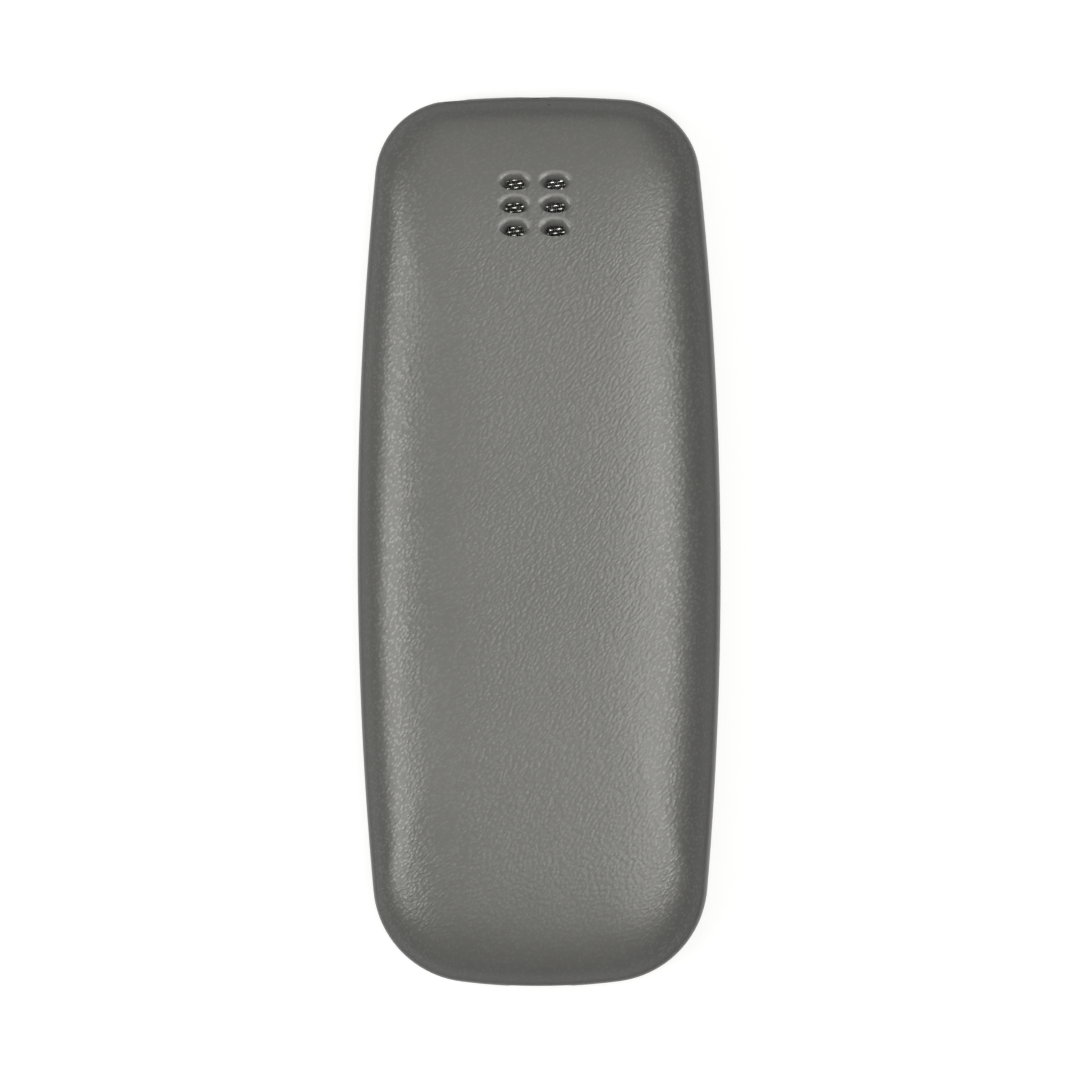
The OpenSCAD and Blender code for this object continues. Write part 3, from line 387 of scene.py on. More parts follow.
soft_box("left soft box", -33.5, 0.28, 0.48, 5.9)
soft_box("right soft box", 15.4, 0.26, 0.48, 6.4)
soft_box("soft box at the top end", 36, 0.4, 0.5, 0.9, True)
soft_box("weak soft box overhead", -7, 0.3, 0.46, 0.5)

# %% [markdown]
# ## Shared finishes
#
# A finish that several plastics share is made once, as a node group. The grain
# group gives small rounded pebbles, as a spark-eroded mould leaves them, and a
# broad, faint change of tone that handling leaves. Each material sets the size
# and the depth for itself.


# %% Grain group
def new_group(name, setting, setting_kind, outputs):
    """A node group that takes a vector and one setting and gives values."""
    group = bpy.data.node_groups.new(name, "ShaderNodeTree")
    for socket, kind in (("Vector", "NodeSocketVector"), (setting, setting_kind)):
        group.interface.new_socket(socket, in_out="INPUT", socket_type=kind)
    for socket in outputs:
        group.interface.new_socket(socket, in_out="OUTPUT", socket_type="NodeSocketFloat")
    return group, group.nodes.new("NodeGroupInput").outputs, group.nodes.new("NodeGroupOutput")


def ramp_node(tree, value, low, high):
    """Value mapped from low to high onto 0 to 1, and held at the ends."""
    return add_node(tree, "MapRange", {"Value": value, "From Min": low, "From Max": high})["Result"]


def pebble_height(tree, place, per_metre):
    """Height of rounded pebbles that lie aslant, with a finer roughness on them."""
    wander = add_node(tree, "TexNoise", {"Vector": place, "Scale": 300})["Color"]
    shift = add_node(tree, "VectorMath", {0: wander, "Scale": 0.45 * MM}, operation="SCALE")
    bent = add_node(tree, "VectorMath", {0: place, 1: shift[0]})
    slant = {"Vector": bent[0], "Rotation": (0, 0, math.radians(45)), "Scale": (1.75, 1, 1)}
    leaning = add_node(tree, "Mapping", slant, vector_type="TEXTURE")[0]
    pebble = {"Vector": leaning, "Scale": per_metre, "Smoothness": 0.35}
    cells = add_node(tree, "TexVoronoi", pebble, feature="SMOOTH_F1")
    finer = {"Vector": leaning, "Scale": times(tree, per_metre, 1.7), "Detail": 3}
    fine = add_node(tree, "TexNoise", finer)["Fac"]
    dome = math_node(tree, "SUBTRACT", 1, cells["Distance"])
    return math_node(tree, "ADD", dome, times(tree, fine, 0.5))


def pebble_group():
    outputs = ("Height", "Tone", "Specks")
    group, given, end = new_group("moulded pebbles", "Pebbles per metre", "NodeSocketFloat", outputs)
    place = given["Vector"]
    height = pebble_height(group, place, given["Pebbles per metre"])
    broad = add_node(group, "TexNoise", {"Vector": place, "Scale": 45, "Detail": 4})
    dots = add_node(group, "TexVoronoi", {"Vector": place, "Scale": 140})
    specks = ramp_node(group, dots["Distance"], 0.03, 0.012)
    feed(group, end, {"Height": height, "Tone": broad["Fac"], "Specks": specks})
    return group


pebbles = pebble_group()
print("group:", pebbles.name)

# %% [markdown]
# ## The cover's plastic
#
# The back is through-coloured grey plastic, matte, with a fine grain. The grain
# breaks the highlights up. A few dark specks lie in it, and the roughness
# wanders a little, as it does on a phone that has been handled. Along the sides,
# where a hand holds it, the tops of the grain are polished and its depth is worn.
# The group's values go into colour, roughness and bump alone, so the polish, which
# is gloss, gets the same pebbles from nodes of the material's own.


# %% Grey grained plastic
def new_finish(name):
    """A material, its tree, its shader and the object's own coordinates."""
    material = bpy.data.materials.new(name)
    material.use_nodes = True
    tree = material.node_tree
    place = add_node(tree, "TexCoord", {})["Object"]
    return material, tree, tree.nodes["Principled BSDF"], place


def mix_colour(tree, factor, *colours):
    """Two colours, or outputs that give colours, mixed by a factor."""
    first, second = [(*c, 1) if isinstance(c, tuple) else c for c in colours]
    return add_node(tree, "Mix", {0: factor, 6: first, 7: second}, data_type="RGBA")[2]


def bump(tree, height, distance, strength=1.0):
    inputs = {"Height": height, "Distance": distance, "Strength": strength}
    return add_node(tree, "Bump", inputs)["Normal"]


def quiet_rim(tree, gloss):
    """Gloss that dies away where the surface turns edge on, as it does over a rough grain."""
    facing = add_node(tree, "LayerWeight", {})["Facing"]
    turned = math_node(tree, "POWER", math_node(tree, "DIVIDE", facing, 0.62), 1.2)
    left = math_node(tree, "MAXIMUM", math_node(tree, "SUBTRACT", 1, turned), 0.07)
    return times(tree, left, gloss)


def coordinates(tree):
    place = tree.nodes["Texture Coordinate"].outputs["Object"]
    return add_node(tree, "SeparateXYZ", {0: place})


def worn_ends(tree):
    """A share of the grain's depth: full on the flat of the back, small at the ends and the rim."""
    x, y, _ = coordinates(tree)
    top = ramp_node(tree, y, 54 * MM, 40 * MM)
    bottom = ramp_node(tree, y, -57 * MM, -44 * MM)
    side = ramp_node(tree, math_node(tree, "ABSOLUTE", x), 22 * MM, 17 * MM)
    return math_node(tree, "MULTIPLY_ADD", times(tree, top, bottom, side), 0.75, 0.25)


def pebble_tops(tree, height):
    return ramp_node(tree, height, 0.75, 1.15)


def polished_sides(tree, tops):
    """A factor on the gloss: along the sides, hands polish the tops of the grain and not its pits."""
    aside = math_node(tree, "ABSOLUTE", coordinates(tree)["X"])
    reached = ramp_node(tree, aside, 13.5 * MM, 17.5 * MM)
    held = times(tree, reached, ramp_node(tree, aside, 23.5 * MM, 20.5 * MM), 0.75)
    return math_node(tree, "MULTIPLY_ADD", held, math_node(tree, "SUBTRACT", tops, 0.27), 1)


def grained_plastic(name, colour, pit_dirt_and_shade, roughness, per_metre, depth, gloss=0.5, handled=False):
    """Moulded plastic with a pebbled grain, which handling may wear, and a slightly uneven tone."""
    material, tree, shader, place = new_finish(name)
    grain = add_node(tree, "Group", {"Vector": place, "Pebbles per metre": per_metre}, node_tree=pebbles)
    height = grain["Height"]
    tops = pebble_tops(tree, height)
    tone = times(tree, ramp_node(tree, grain["Tone"], 0.3, 0.7), 0.25)
    # The pits of the grain take the darker colour: partly dirt, partly painted shade in the pits.
    plain = mix_colour(tree, math_node(tree, "MULTIPLY_ADD", tops, 0.75, tone), pit_dirt_and_shade, colour)
    shine = quiet_rim(tree, gloss)
    if handled:
        height = times(tree, height, worn_ends(tree))
        own_tops = pebble_tops(tree, pebble_height(tree, place, per_metre))
        shine = times(tree, shine, polished_sides(tree, own_tops))
    feed(tree, shader, {
        "Base Color": mix_colour(tree, grain["Specks"], plain, tuple(0.25 * c for c in colour)),
        "Roughness": math_node(tree, "MULTIPLY_ADD", grain["Tone"], 0.12, roughness - 0.06),
        "Normal": bump(tree, height, depth),
        "Specular IOR Level": shine,
    })
    return material


# The darker pit colour is partly dirt and partly painted shade.
cover_grey = (0.125, 0.125, 0.1235)
cover_pits_dirt_and_shade = (0.096, 0.096, 0.0945)
cover_plastic = grained_plastic(
    "grey grained plastic", cover_grey, cover_pits_dirt_and_shade, 0.32, 2700, 0.034 * MM, 0.7, True
)
print("finish:", cover_plastic.name)

# %% [markdown]
# ## The back cover
#
# The cover is a thin pillowed tub. Its height over any point follows a
# super-ellipse, full in the middle and quick to fall at the edge. One long
# extrusion makes it: it starts under the ceiling, comes down the inner wall,
# turns round the lower edge and climbs the outside to the crown, so the wall is
# closed and even. Boxes and cutters then make its tabs and openings.

# %% Cover wall
band = 3.2 * MM
seam = 0.1 * MM
belt = 4.5 * MM
crown = 14.4 * MM
fullness = 4.5
last_turn = math.radians(88)
crowding = 1.4
cover_wall = 1.2 * MM


def pillow(inset, count):
    rings = []
    for i in range(count + 1):
        turn = last_turn * (i / count) ** crowding
        reach = math.cos(turn) ** (2 / fullness)
        rise = math.sin(turn) ** (2 / fullness)
        z = belt + (crown - inset - belt) * rise
        rings.append([Vector((p.x * reach, p.y * reach, z)) for p in outline(inset)])
    return rings


def pillow_height(inset, y):
    reach = abs(y) / (half_length - inset)
    return belt + (crown - inset - belt) * (1 - reach**fullness) ** (1 / fullness)


cover_low = band + seam
inner = pillow(cover_wall, 18)[::-1] + [level(outline(cover_wall), cover_low + 0.15 * MM)]
rim = [(1.08, 0.03), (0.95, 0), (0.3, 0), (0.14, 0.07), (0.05, 0.24), (0, 0.6)]
edge = [level(outline(inset * MM), cover_low + rise * MM) for inset, rise in rim]
cover = stack_rings("cover", inner + edge + pillow(0, 36))
print("cover wall:", len(cover.data.vertices), "points")

# %% [markdown]
# ### Openings of the cover
#
# Six oval sound holes let the loudspeaker speak. Each mouth is rounded over, so
# its cutter is a stadium that flares like a trumpet where it meets the surface.
# The flare leans with the slope of the cover there, and the throat lies a little
# lower than the mouth, so more of its upper wall is seen.


# %% Sound holes
def stadium(half, radius, oval, count=48):
    """Points round an opening that is long in X: straight-sided, or as oval as the share says."""
    points = []
    for i in range(count):
        turn = 2 * math.pi * i / count
        way = math.cos(turn)
        side = 0 if abs(way) < 1e-6 else math.copysign(half, way)
        side += (half * way - side) * oval
        points.append(Vector((side + radius * way, radius * math.sin(turn))))
    return points


def flare(lip, steps=6):
    """Depth and growth of a rounded mouth or edge, from its throat to the surface."""
    turns = [math.pi / 2 * i / steps for i in range(steps + 1)]
    return [(lip * (1 - math.sin(t)), lip * (1 - math.cos(t))) for t in turns]


speaker_y = half_length - 14.9 * MM
hole_half = 0.6 * MM
hole_radius = 0.65 * MM
hole_lip = 0.65 * MM
mouth_growth = 0.35 * MM
throat_shift = -0.2 * MM
mouth_shift = 0.4 * MM
pitch_x = 5.4 * MM
pitch_y = 3.1 * MM
seat = pillow_height(cover_wall, speaker_y) - 0.25 * MM


def sound_hole(x, y):
    step = 0.5 * MM
    slope = (pillow_height(0, y + step) - pillow_height(0, y - step)) / (2 * step)
    surface = pillow_height(0, y)
    stages = [(surface - seat + 2 * MM, 0)] + flare(hole_lip) + [(-1 * MM, hole_lip)]
    rings = []
    for depth, growth in stages:
        share = growth / hole_lip
        points = stadium(hole_half + mouth_growth * share, hole_radius + growth, 0.8 * share)
        centre = y + throat_shift + (mouth_shift - throat_shift) * share
        drop = 1.5 * depth if depth > 0 else depth
        leaning = [surface - drop + slope * (centre + p.y - y) for p in points]
        rings.append([Vector((x + p.x, centre + p.y, z)) for p, z in zip(points, leaning)])
    return stack_rings("sound hole", rings)


print("seat height in mm:", round(seat / MM, 2))

# %% [markdown]
# ### Painted lip highlights
#
# The upper lips of the holes are painted lighter than the grained face round
# them, a painted highlight on the rounded mouths. The mask counts which row of
# holes a point is nearest to, and is 1 on an elliptic band round that hole's mouth.


# %% Painted lip highlights
def tint(material, mask, colour):
    """Mix a colour over a finish where a mask is 1."""
    tree = material.node_tree
    shader = tree.nodes["Principled BSDF"]
    below = shader.inputs["Base Color"].links[0].from_socket
    feed(tree, shader, {"Base Color": mix_colour(tree, mask, below, colour)})


def painted_lip_highlights(tree):
    x, y, _ = coordinates(tree)
    aside = math_node(tree, "SUBTRACT", math_node(tree, "ABSOLUTE", x), pitch_x / 2)
    along = math_node(tree, "SUBTRACT", y, speaker_y + mouth_shift)
    row = math_node(tree, "ROUND", math_node(tree, "DIVIDE", along, pitch_y))
    row = math_node(tree, "MAXIMUM", math_node(tree, "MINIMUM", row, 1), -1)
    up = math_node(tree, "SUBTRACT", along, times(tree, row, pitch_y))
    squares = []
    for value, half in ((aside, hole_half + mouth_growth), (up, 0)):
        share = math_node(tree, "DIVIDE", value, half + hole_radius + hole_lip)
        squares.append(times(tree, share, share))
    ring = math_node(tree, "SQRT", math_node(tree, "ADD", *squares))
    inner_edge = ramp_node(tree, ring, 0.7, 0.86)
    outer_edge = ramp_node(tree, ring, 1.1, 0.98)
    return times(tree, inner_edge, outer_edge, ramp_node(tree, up, -0.2 * MM, 0.5 * MM))


# The lips' lighter colour is a painted highlight.
tint(cover_plastic, painted_lip_highlights(cover_plastic.node_tree), (0.175, 0.175, 0.17))
print("painted lip highlights on", cover_plastic.name)

# %% [markdown]
# ### Pad, tabs and end openings
#
# Inside, a flat pad carries the dust mesh, and eight tabs hang in slots of the
# inner frame. The ends are open for the headphone plug, the torch and the
# charging plug, and a slot at the parting line takes a fingernail. A box, a plate
# or a flared cutter at its size and place is joined on, or cut away.


# %% Pad, tabs and ports
def block(low, high):
    """A box between two corners, in mm."""
    low = Vector(low) * MM
    high = Vector(high) * MM
    nothing_selected()
    bpy.ops.mesh.primitive_cube_add(size=1, location=(low + high) / 2, scale=high - low)
    bpy.ops.object.transform_apply(location=True, rotation=True, scale=True)
    return bpy.context.active_object


def soft_rectangle(width, height, radius, count=12):
    """Points round a rectangle with round corners."""
    radius = min(radius, 0.49 * width, 0.49 * height)
    points = []
    for corner in range(4):
        x = (width / 2 - radius) * (1 if corner in (0, 3) else -1)
        y = (height / 2 - radius) * (1 if corner in (0, 1) else -1)
        for i in range(count + 1):
            turn = math.pi / 2 * (corner + i / count)
            points.append(Vector((x + radius * math.cos(turn), y + radius * math.sin(turn))))
    return points


def moved(points, x, y, z):
    return [Vector((p.x + x, p.y + y, z)) for p in points]


def end_opening(width, height, radius, x, z, mouth, inward, lip, slope=0.0):
    """A flared cutter for an opening in an end wall, which follows the wall's slope in X."""
    rings = []
    for depth, growth in [(9 * MM, 0)] + flare(lip) + [(-2 * MM, lip)]:
        points = soft_rectangle(width + 2 * growth, height + 2 * growth, radius + growth)
        rings.append([Vector((x + p.x, mouth + inward * depth + slope * p.x, z + p.y)) for p in points])
    return stack_rings("opening", rings)


def side_x(y):
    return half_width - side_radius + math.sqrt(side_radius**2 - (y - widest_y) ** 2)


def slab(width, height, radius, low, high):
    """A plate with round corners under the sound holes."""
    points = soft_rectangle(width, height, radius)
    return stack_rings("slab", [moved(points, 0, speaker_y, z) for z in (low, high)])


carve(cover, slab(16 * MM, 12 * MM, 1.2 * MM, seat, seat + 0.72 * MM), "UNION")
carve(cover, slab(15.6 * MM, 11.6 * MM, 1 * MM, seat - 4 * MM, seat))
tab_places = (-35.7, -14.28, 17.85, 39.87)
tab_half = 2.5
tab_low = 6
tab_high = 8
for y in tab_places:
    reach = side_x(y * MM) / MM
    for near, far in ((reach - 2, reach - 0.5), (0.5 - reach, 2 - reach)):
        carve(cover, block((near, y - tab_half, tab_low), (far, y + tab_half, tab_high)), "UNION")
port_z = 6.9 * MM
jack_x = -11.2 * MM
jack_hole = (4.1 * MM, 4.1 * MM, 3 * MM)
torch_hole = (3.9 * MM, 3.9 * MM, 3 * MM)
charging_hole = (8.4 * MM, 3.5 * MM, 0.7 * MM)
charging_z = 6.35 * MM
carve(cover, end_opening(*jack_hole, jack_x, port_z, 59.08 * MM, -1, 0.12 * MM, 0.07))
carve(cover, end_opening(*torch_hole, 0, port_z, 59.46 * MM, -1, 0.15 * MM))
carve(cover, end_opening(*charging_hole, 0, charging_z, -59.44 * MM, 1, 0.35 * MM))
pry_slot = block((10, -61, 2.3), (18, -52.5, 4))
carve(cover, pry_slot)
for row in (-1, 0, 1):
    for column in (-1, 1):
        carve(cover, sound_hole(column * pitch_x / 2, speaker_y + row * pitch_y))
smooth(cover, 40)
dress(cover, cover_plastic, "cover", "cover_plastic", "back_cover")

# %% [markdown]
# ## The woven dust mesh
#
# Behind the sound holes lies a plain weave of flattened steel wire. The wires
# that run across bend over one long wire and under the next, so each is a flat
# oval that is extruded along a wave. The long wires stay low and nearly
# straight, and only the bends catch the light. One pair of neighbours is
# modelled for each direction, and an Array modifier lays the others beside it.


# %% Steel
def streak_group():
    outputs = ("Streaks", "Tone")
    group, given, end = new_group("rolled streaks", "Stretch", "NodeSocketVector", outputs)
    place = given["Vector"]
    stretched = add_node(group, "VectorMath", {0: place, 1: given["Stretch"]}, operation="MULTIPLY")
    lines = add_node(group, "TexNoise", {"Vector": stretched[0], "Scale": 1, "Detail": 4})
    cloud = add_node(group, "TexNoise", {"Vector": place, "Scale": 160})
    feed(group, end, {"Streaks": lines["Fac"], "Tone": cloud["Fac"]})
    return group


streaks = streak_group()


def metal(name, colour, dull, roughness, stretch=(300, 5000, 5000), depth=0.002 * MM):
    """Rolled or plated metal with fine streaks and a faint tarnish."""
    material, tree, shader, place = new_finish(name)
    lines = add_node(tree, "Group", {"Vector": place, "Stretch": stretch}, node_tree=streaks)
    tarnish = ramp_node(tree, lines["Tone"], 0.35, 0.75)
    feed(tree, shader, {
        "Base Color": mix_colour(tree, tarnish, colour, dull),
        "Roughness": math_node(tree, "MULTIPLY_ADD", lines["Streaks"], 0.2, roughness - 0.1),
        "Metallic": 1,
        "Normal": bump(tree, lines["Streaks"], depth),
    })
    return material


steel = metal("bright steel", (0.72, 0.72, 0.7), (0.55, 0.55, 0.53), 0.3)
print("finish:", steel.name)

# %% [markdown]
# ### Wires
#
# A wire is an oval ring that is extruded step by step along its wave. The two
# directions differ in width, height and swing, so each has its own four sizes:
# half the width, half the height, the swing and the height of the middle, in mm.

# %% Woven wires
mesh_low, mesh_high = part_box("speaker_mesh")
mesh_middle = (mesh_low + mesh_high) / 2
pitch_along = 0.61 * MM
pitch_across = 0.52 * MM
cross_wire = (0.11, 0.055, 0.1, 0)
long_wire = (0.06, 0.045, 0.05, -0.03)


def move_mesh(piece, shift):
    """Move the points of a piece and leave its origin."""
    edit_all(piece)
    bpy.ops.transform.translate(value=shift)
    bpy.ops.object.mode_set(mode="OBJECT")


def join(pieces):
    nothing_selected()
    for piece in pieces:
        piece.select_set(True)
    bpy.context.view_layer.objects.active = pieces[0]
    bpy.ops.object.join()
    return pieces[0]


def wire(along_x, reach, phase):
    """A flattened wire through the origin that waves between the wires that cross it."""
    wide, tall, swing, centre = cross_wire if along_x else long_wire
    crossing = pitch_along if along_x else pitch_across
    steps = 6 * round(reach / crossing)
    rings = []
    for i in range(steps + 1):
        place = -reach / 2 + reach * i / steps
        lift = centre + swing * math.cos(math.pi * place / crossing + phase)
        ring = []
        for k in range(8):
            turn = 2 * math.pi * k / 8
            aside = wide * MM * math.cos(turn)
            up = (lift + tall * math.sin(turn)) * MM
            ring.append(Vector((place, aside, up) if along_x else (-aside, place, up)))
        rings.append(ring)
    return stack_rings("wire", rings)


def weave(name, along_x, reach, spread):
    """A row of wires, in which neighbours wave in turn."""
    pitch = pitch_across if along_x else pitch_along
    pairs = round(spread / pitch / 2)
    step = Vector((0, pitch, 0) if along_x else (pitch, 0, 0))
    shift = math.pi / 2 if along_x else -math.pi / 2
    first = wire(along_x, reach, shift)
    second = wire(along_x, reach, shift + math.pi)
    move_mesh(second, step)
    row = join([first, second])
    row.name = name
    modify(row, "ARRAY", use_relative_offset=False, use_constant_offset=True,
           constant_offset_displace=step * 2, count=pairs)
    move_mesh(row, step * (0.5 - pairs))
    return row


print("weave of", cross_wire, "and", long_wire)

# %% [markdown]
# ### Cutting the mesh to size
#
# A punch cuts the mesh from a sheet without regard to its wires, so they run a
# few degrees askew. The weave is made too large, turned, put in its place and
# cut along four planes. The dips of the cross wires carry painted shade, so only
# their crowns are bright, and the long wires are painted dark as shade.

# %% Turned and trimmed mesh
mesh_level = mesh_low.z + 0.1 * MM
mesh_turn = math.radians(8)


def trim(piece):
    """Turn a weave, put it in its place and cut it along four planes."""
    only(piece)
    piece.rotation_euler = (0, 0, mesh_turn)
    piece.location = (mesh_middle.x, mesh_middle.y, mesh_level)
    bpy.ops.object.transform_apply(location=True, rotation=True, scale=True)
    bpy.ops.object.mode_set(mode="EDIT")
    for way in ((1, 0, 0), (-1, 0, 0), (0, 1, 0), (0, -1, 0)):
        corner = mesh_high if sum(way) > 0 else mesh_low
        bpy.ops.mesh.select_all(action="SELECT")
        bpy.ops.mesh.bisect(plane_co=corner, plane_no=way, clear_outer=True, use_fill=True)
    bpy.ops.object.mode_set(mode="OBJECT")
    smooth(piece, 60)


bright_wire = metal("bright wire", (0.92, 0.92, 0.9), (0.8, 0.8, 0.78), 0.26)
# The dips of the cross wires are painted near black: painted shade.
height = coordinates(bright_wire.node_tree)["Z"]
painted_shade_in_dips = ramp_node(bright_wire.node_tree, height, mesh_level + 0.05 * MM, mesh_level - 0.02 * MM)
tint(bright_wire, painted_shade_in_dips, (0.03, 0.03, 0.029))
# On the long wires of the mesh this dark colour is painted shade.
dark_wire_and_painted_shade = metal("dark wire with painted shade", (0.14, 0.14, 0.136), (0.09, 0.09, 0.087), 0.42)
mesh = weave("dust_mesh", True, 19 * MM, 15 * MM)
trim(mesh)
dress(mesh, bright_wire, "cover", "bright_steel", "speaker_mesh")
long_wires = weave("dust_mesh_long_wires", False, 15 * MM, 19 * MM)
trim(long_wires)
dress(long_wires, dark_wire_and_painted_shade, "cover", "bright_steel")

# %% [markdown]
# ## The front half
#
# The front half is the other shell: a plate with a rolled edge, a tongue that
# stands up inside the cover, and bosses for six screws. The roll is extruded
# ring by ring along a quarter of an ellipse.

# %% Satin plastic and the rolled plate
shell_plastic = grained_plastic(
    "grey satin plastic", (0.24, 0.24, 0.238), (0.22, 0.22, 0.218), 0.34, 4200, 0.006 * MM, 0.5
)
roll_width = 1.5 * MM
plate = 1.6 * MM
tongue_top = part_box("front_shell")[1].z
frame_inset = 1.45 * MM
cavity_inset = 2.45 * MM
roll_height = 1.9 * MM
rings = []
for inward, upward in flare(1, 12):
    rings.append(level(outline(roll_width * inward + 0.04 * MM), roll_height * upward))
for inset, below in ((0.04, 0.3), (0.09, 0.1), (0.22, 0)):
    rings.append(level(outline(inset * MM), band - below * MM))
shell = stack_rings("front_half", rings)


def prism(inset, low, high):
    return stack_rings("prism", [level(outline(inset), low), level(outline(inset), high)])


def rod(x, y, z, diameter, length, turn=(0, 0, 0)):
    """A round rod that starts at a point and runs along Z, or along the way that it's turned."""
    nothing_selected()
    bpy.ops.mesh.primitive_cylinder_add(vertices=48, radius=diameter / 2, depth=length)
    tool = bpy.context.active_object
    tool.location = (0, 0, length / 2)
    bpy.ops.object.transform_apply(location=True)
    tool.rotation_euler = turn
    tool.location = (x, y, z)
    bpy.ops.object.transform_apply(location=True, rotation=True)
    return tool


screws = [(18.2, 48), (19.6, 2.5), (14, -53.4)]
boss_diameter = 3.8 * MM
thread_diameter = 1.5 * MM
carve(shell, prism(frame_inset, band - 1 * MM, tongue_top), "UNION")
carve(shell, prism(cavity_inset, plate, tongue_top + 1 * MM))
for x, y in screws:
    for side in (-1, 1):
        carve(shell, rod(side * x * MM, y * MM, 1.2 * MM, boss_diameter, 3 * MM), "UNION")
        carve(shell, rod(side * x * MM, y * MM, 2.2 * MM, thread_diameter, 3 * MM))
print("front half with", 2 * len(screws), "bosses")

# %% [markdown]
# ### Hollow for the keys
#
# The keys lie in a shallow hollow of the plate. Its cutter is the phone's outline
# again, drawn in, and a bisect cuts it straight below the window.

# %% Hollow for the keys
basin_depth = 0.7 * MM
basin_top = 2.1 * MM
basin_wall = [(2.75, -1), (2.75, -0.02), (2.85, 0.03), (3.0, 0.18), (3.05, 0.62), (3.15, 0.7)]
basin = stack_rings("basin", [level(outline(inset * MM), z * MM) for inset, z in basin_wall])
edit_all(basin)
bpy.ops.mesh.bisect(plane_co=(0, basin_top, 0), plane_no=(0, 1, 0), use_fill=True, clear_outer=True)
bpy.ops.object.mode_set(mode="OBJECT")
carve(shell, basin)
print("hollow below", basin_top / MM, "mm")

# %% [markdown]
# ### Openings of the front half
#
# Window, keys, earpiece and microphone all break through the plate. Each cutter
# starts deep inside and flares a little at the face, so no edge is knife sharp.


# %% Window, key holes and sound openings
def face_opening(x, y, width, height, radius, face=0, lip=0.12 * MM, deep=2 * MM):
    """A flared cutter for an opening in the face, which points toward the front."""
    rings = []
    for depth, growth in [(deep, 0)] + flare(lip, 3) + [(-1.5 * MM, lip)]:
        points = soft_rectangle(width + 2 * growth, height + 2 * growth, radius + growth)
        rings.append(moved(points, x, y, face + depth))
    return stack_rings("opening", rings)


key_nodes = [f"key_{number}" for number in range(1, 10)] + ["key_star", "key_0", "key_hash"]
side_nodes = ["soft_key_left", "soft_key_right", "call_key", "end_key"]
flange = 0.5 * MM
key_gap = 0.2 * MM


def key_frame(node):
    """Middle, width and height of a key top, which is smaller than its flange."""
    low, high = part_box(node)
    return (low + high) / 2, high.x - low.x - 2 * flange, high.y - low.y - 2 * flange


window_low, window_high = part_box("display_window")
window_middle = (window_low + window_high) / 2
window_size = window_high - window_low
rebate = window_size.x + 0.2 * MM, window_size.y + 0.2 * MM, 3 * MM
carve(shell, face_opening(0, window_middle.y, *rebate, deep=window_high.z))
view_half = (14.5 * MM, 18 * MM)
view_hole = 2 * view_half[0], 2 * view_half[1], 1 * MM
carve(shell, face_opening(0, window_middle.y, *view_hole, 0.9 * MM, 0.1 * MM))
for node in key_nodes + side_nodes + ["nav_ring"]:
    middle, width, height = key_frame(node)
    corner = (6.2 if node == "nav_ring" else 2.4) * MM
    hole = width + 2 * key_gap, height + 2 * key_gap, corner
    carve(shell, face_opening(middle.x, middle.y, *hole, basin_depth))
earpiece_y = 51.9 * MM
microphone_y = -54.9 * MM
carve(shell, face_opening(0, earpiece_y, 9 * MM, 1.4 * MM, 0.68 * MM, lip=0.2 * MM))
carve(shell, face_opening(0, microphone_y, 1.1 * MM, 1.1 * MM, 0.54 * MM, lip=0.2 * MM))
toward_top = (-math.pi / 2, 0, 0)
for x, diameter in ((jack_x, 5.5 * MM), (0, 3.8 * MM)):
    carve(shell, rod(x, half_length - 8 * MM, port_z, diameter, 9 * MM, toward_top))
carve(shell, block((-4, -61, 4.8), (4, -51.5, 7.9)))
smooth(shell, 35)
dress(shell, shell_plastic, "phone_body", "shell_plastic", "front_shell")

# %% [markdown]
# ## Keys
#
# A key is one moulding: a stem that presses the dome, a flange that keeps it
# behind the plate, and a top that is crowned like a shallow roof and rounded
# along its edge. It's extruded in one go from the stem to the middle of the
# top. The twelve number keys are alike, and so are the four beside the ring, so
# one of each set is modelled and copied.

# %% Dark key plastic and one key
key_plastic = grained_plastic(
    "charcoal key plastic", (0.024, 0.024, 0.026), (0.019, 0.019, 0.021), 0.3, 3600, 0.005 * MM, 0.55
)
crown_radius = 80 * MM
key_round = 2.2 * MM
key_fillet = 0.32 * MM


def key_rings(middle, width, height, corner, top, back):
    """Rings of a key from its stem up to its crowned top."""
    flange_low = plate + 0.1 * MM
    flange_high = flange_low + 0.5 * MM

    def ring(w, h, r, z, crowned=False):
        points = soft_rectangle(w, h, r)
        sag = [p.x**2 / (2 * crown_radius) if crowned else 0 for p in points]
        return [Vector((middle.x + p.x, middle.y + p.y, z + s)) for p, s in zip(points, sag)]

    stem = 3 * MM
    wide = width + 2 * flange
    tall = height + 2 * flange
    rings = [ring(0.85 * stem, 0.85 * stem, stem, back), ring(stem, stem, stem, back - 0.15 * MM)]
    rings.append(ring(stem, stem, stem, flange_high))
    rings.append(ring(wide, tall, corner + flange, flange_high))
    rings.append(ring(wide, tall, corner + flange, flange_low))
    rings.append(ring(width, height, corner, flange_low))
    for drop, inset in flare(key_fillet, 5):
        rings.append(ring(width - 2 * inset, height - 2 * inset, corner - inset, top + drop, True))
    for share in (0.8, 0.6, 0.4, 0.2):
        inset = 2 * key_fillet
        rings.append(ring(share * (width - inset), share * (height - inset), share * corner, top, True))
    return rings


def copy_piece(piece, name, shift):
    only(piece)
    bpy.ops.object.duplicate()
    twin = bpy.context.active_object
    twin.name = name
    move_mesh(twin, shift)
    return twin


def key_set(nodes_alike):
    """Model the first key of a set and copy it to the places of the others."""
    first = nodes_alike[0]
    middle, width, height = key_frame(first)
    low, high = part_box(first)
    model = stack_rings(first + "_top", key_rings(middle, width, height, key_round, low.z, high.z))
    smooth(model, 45)
    for node in nodes_alike[1:]:
        twin = copy_piece(model, node + "_top", key_frame(node)[0] - middle)
        dress(twin, key_plastic, node, "key_plastic", node)
    dress(model, key_plastic, first, "key_plastic", first)


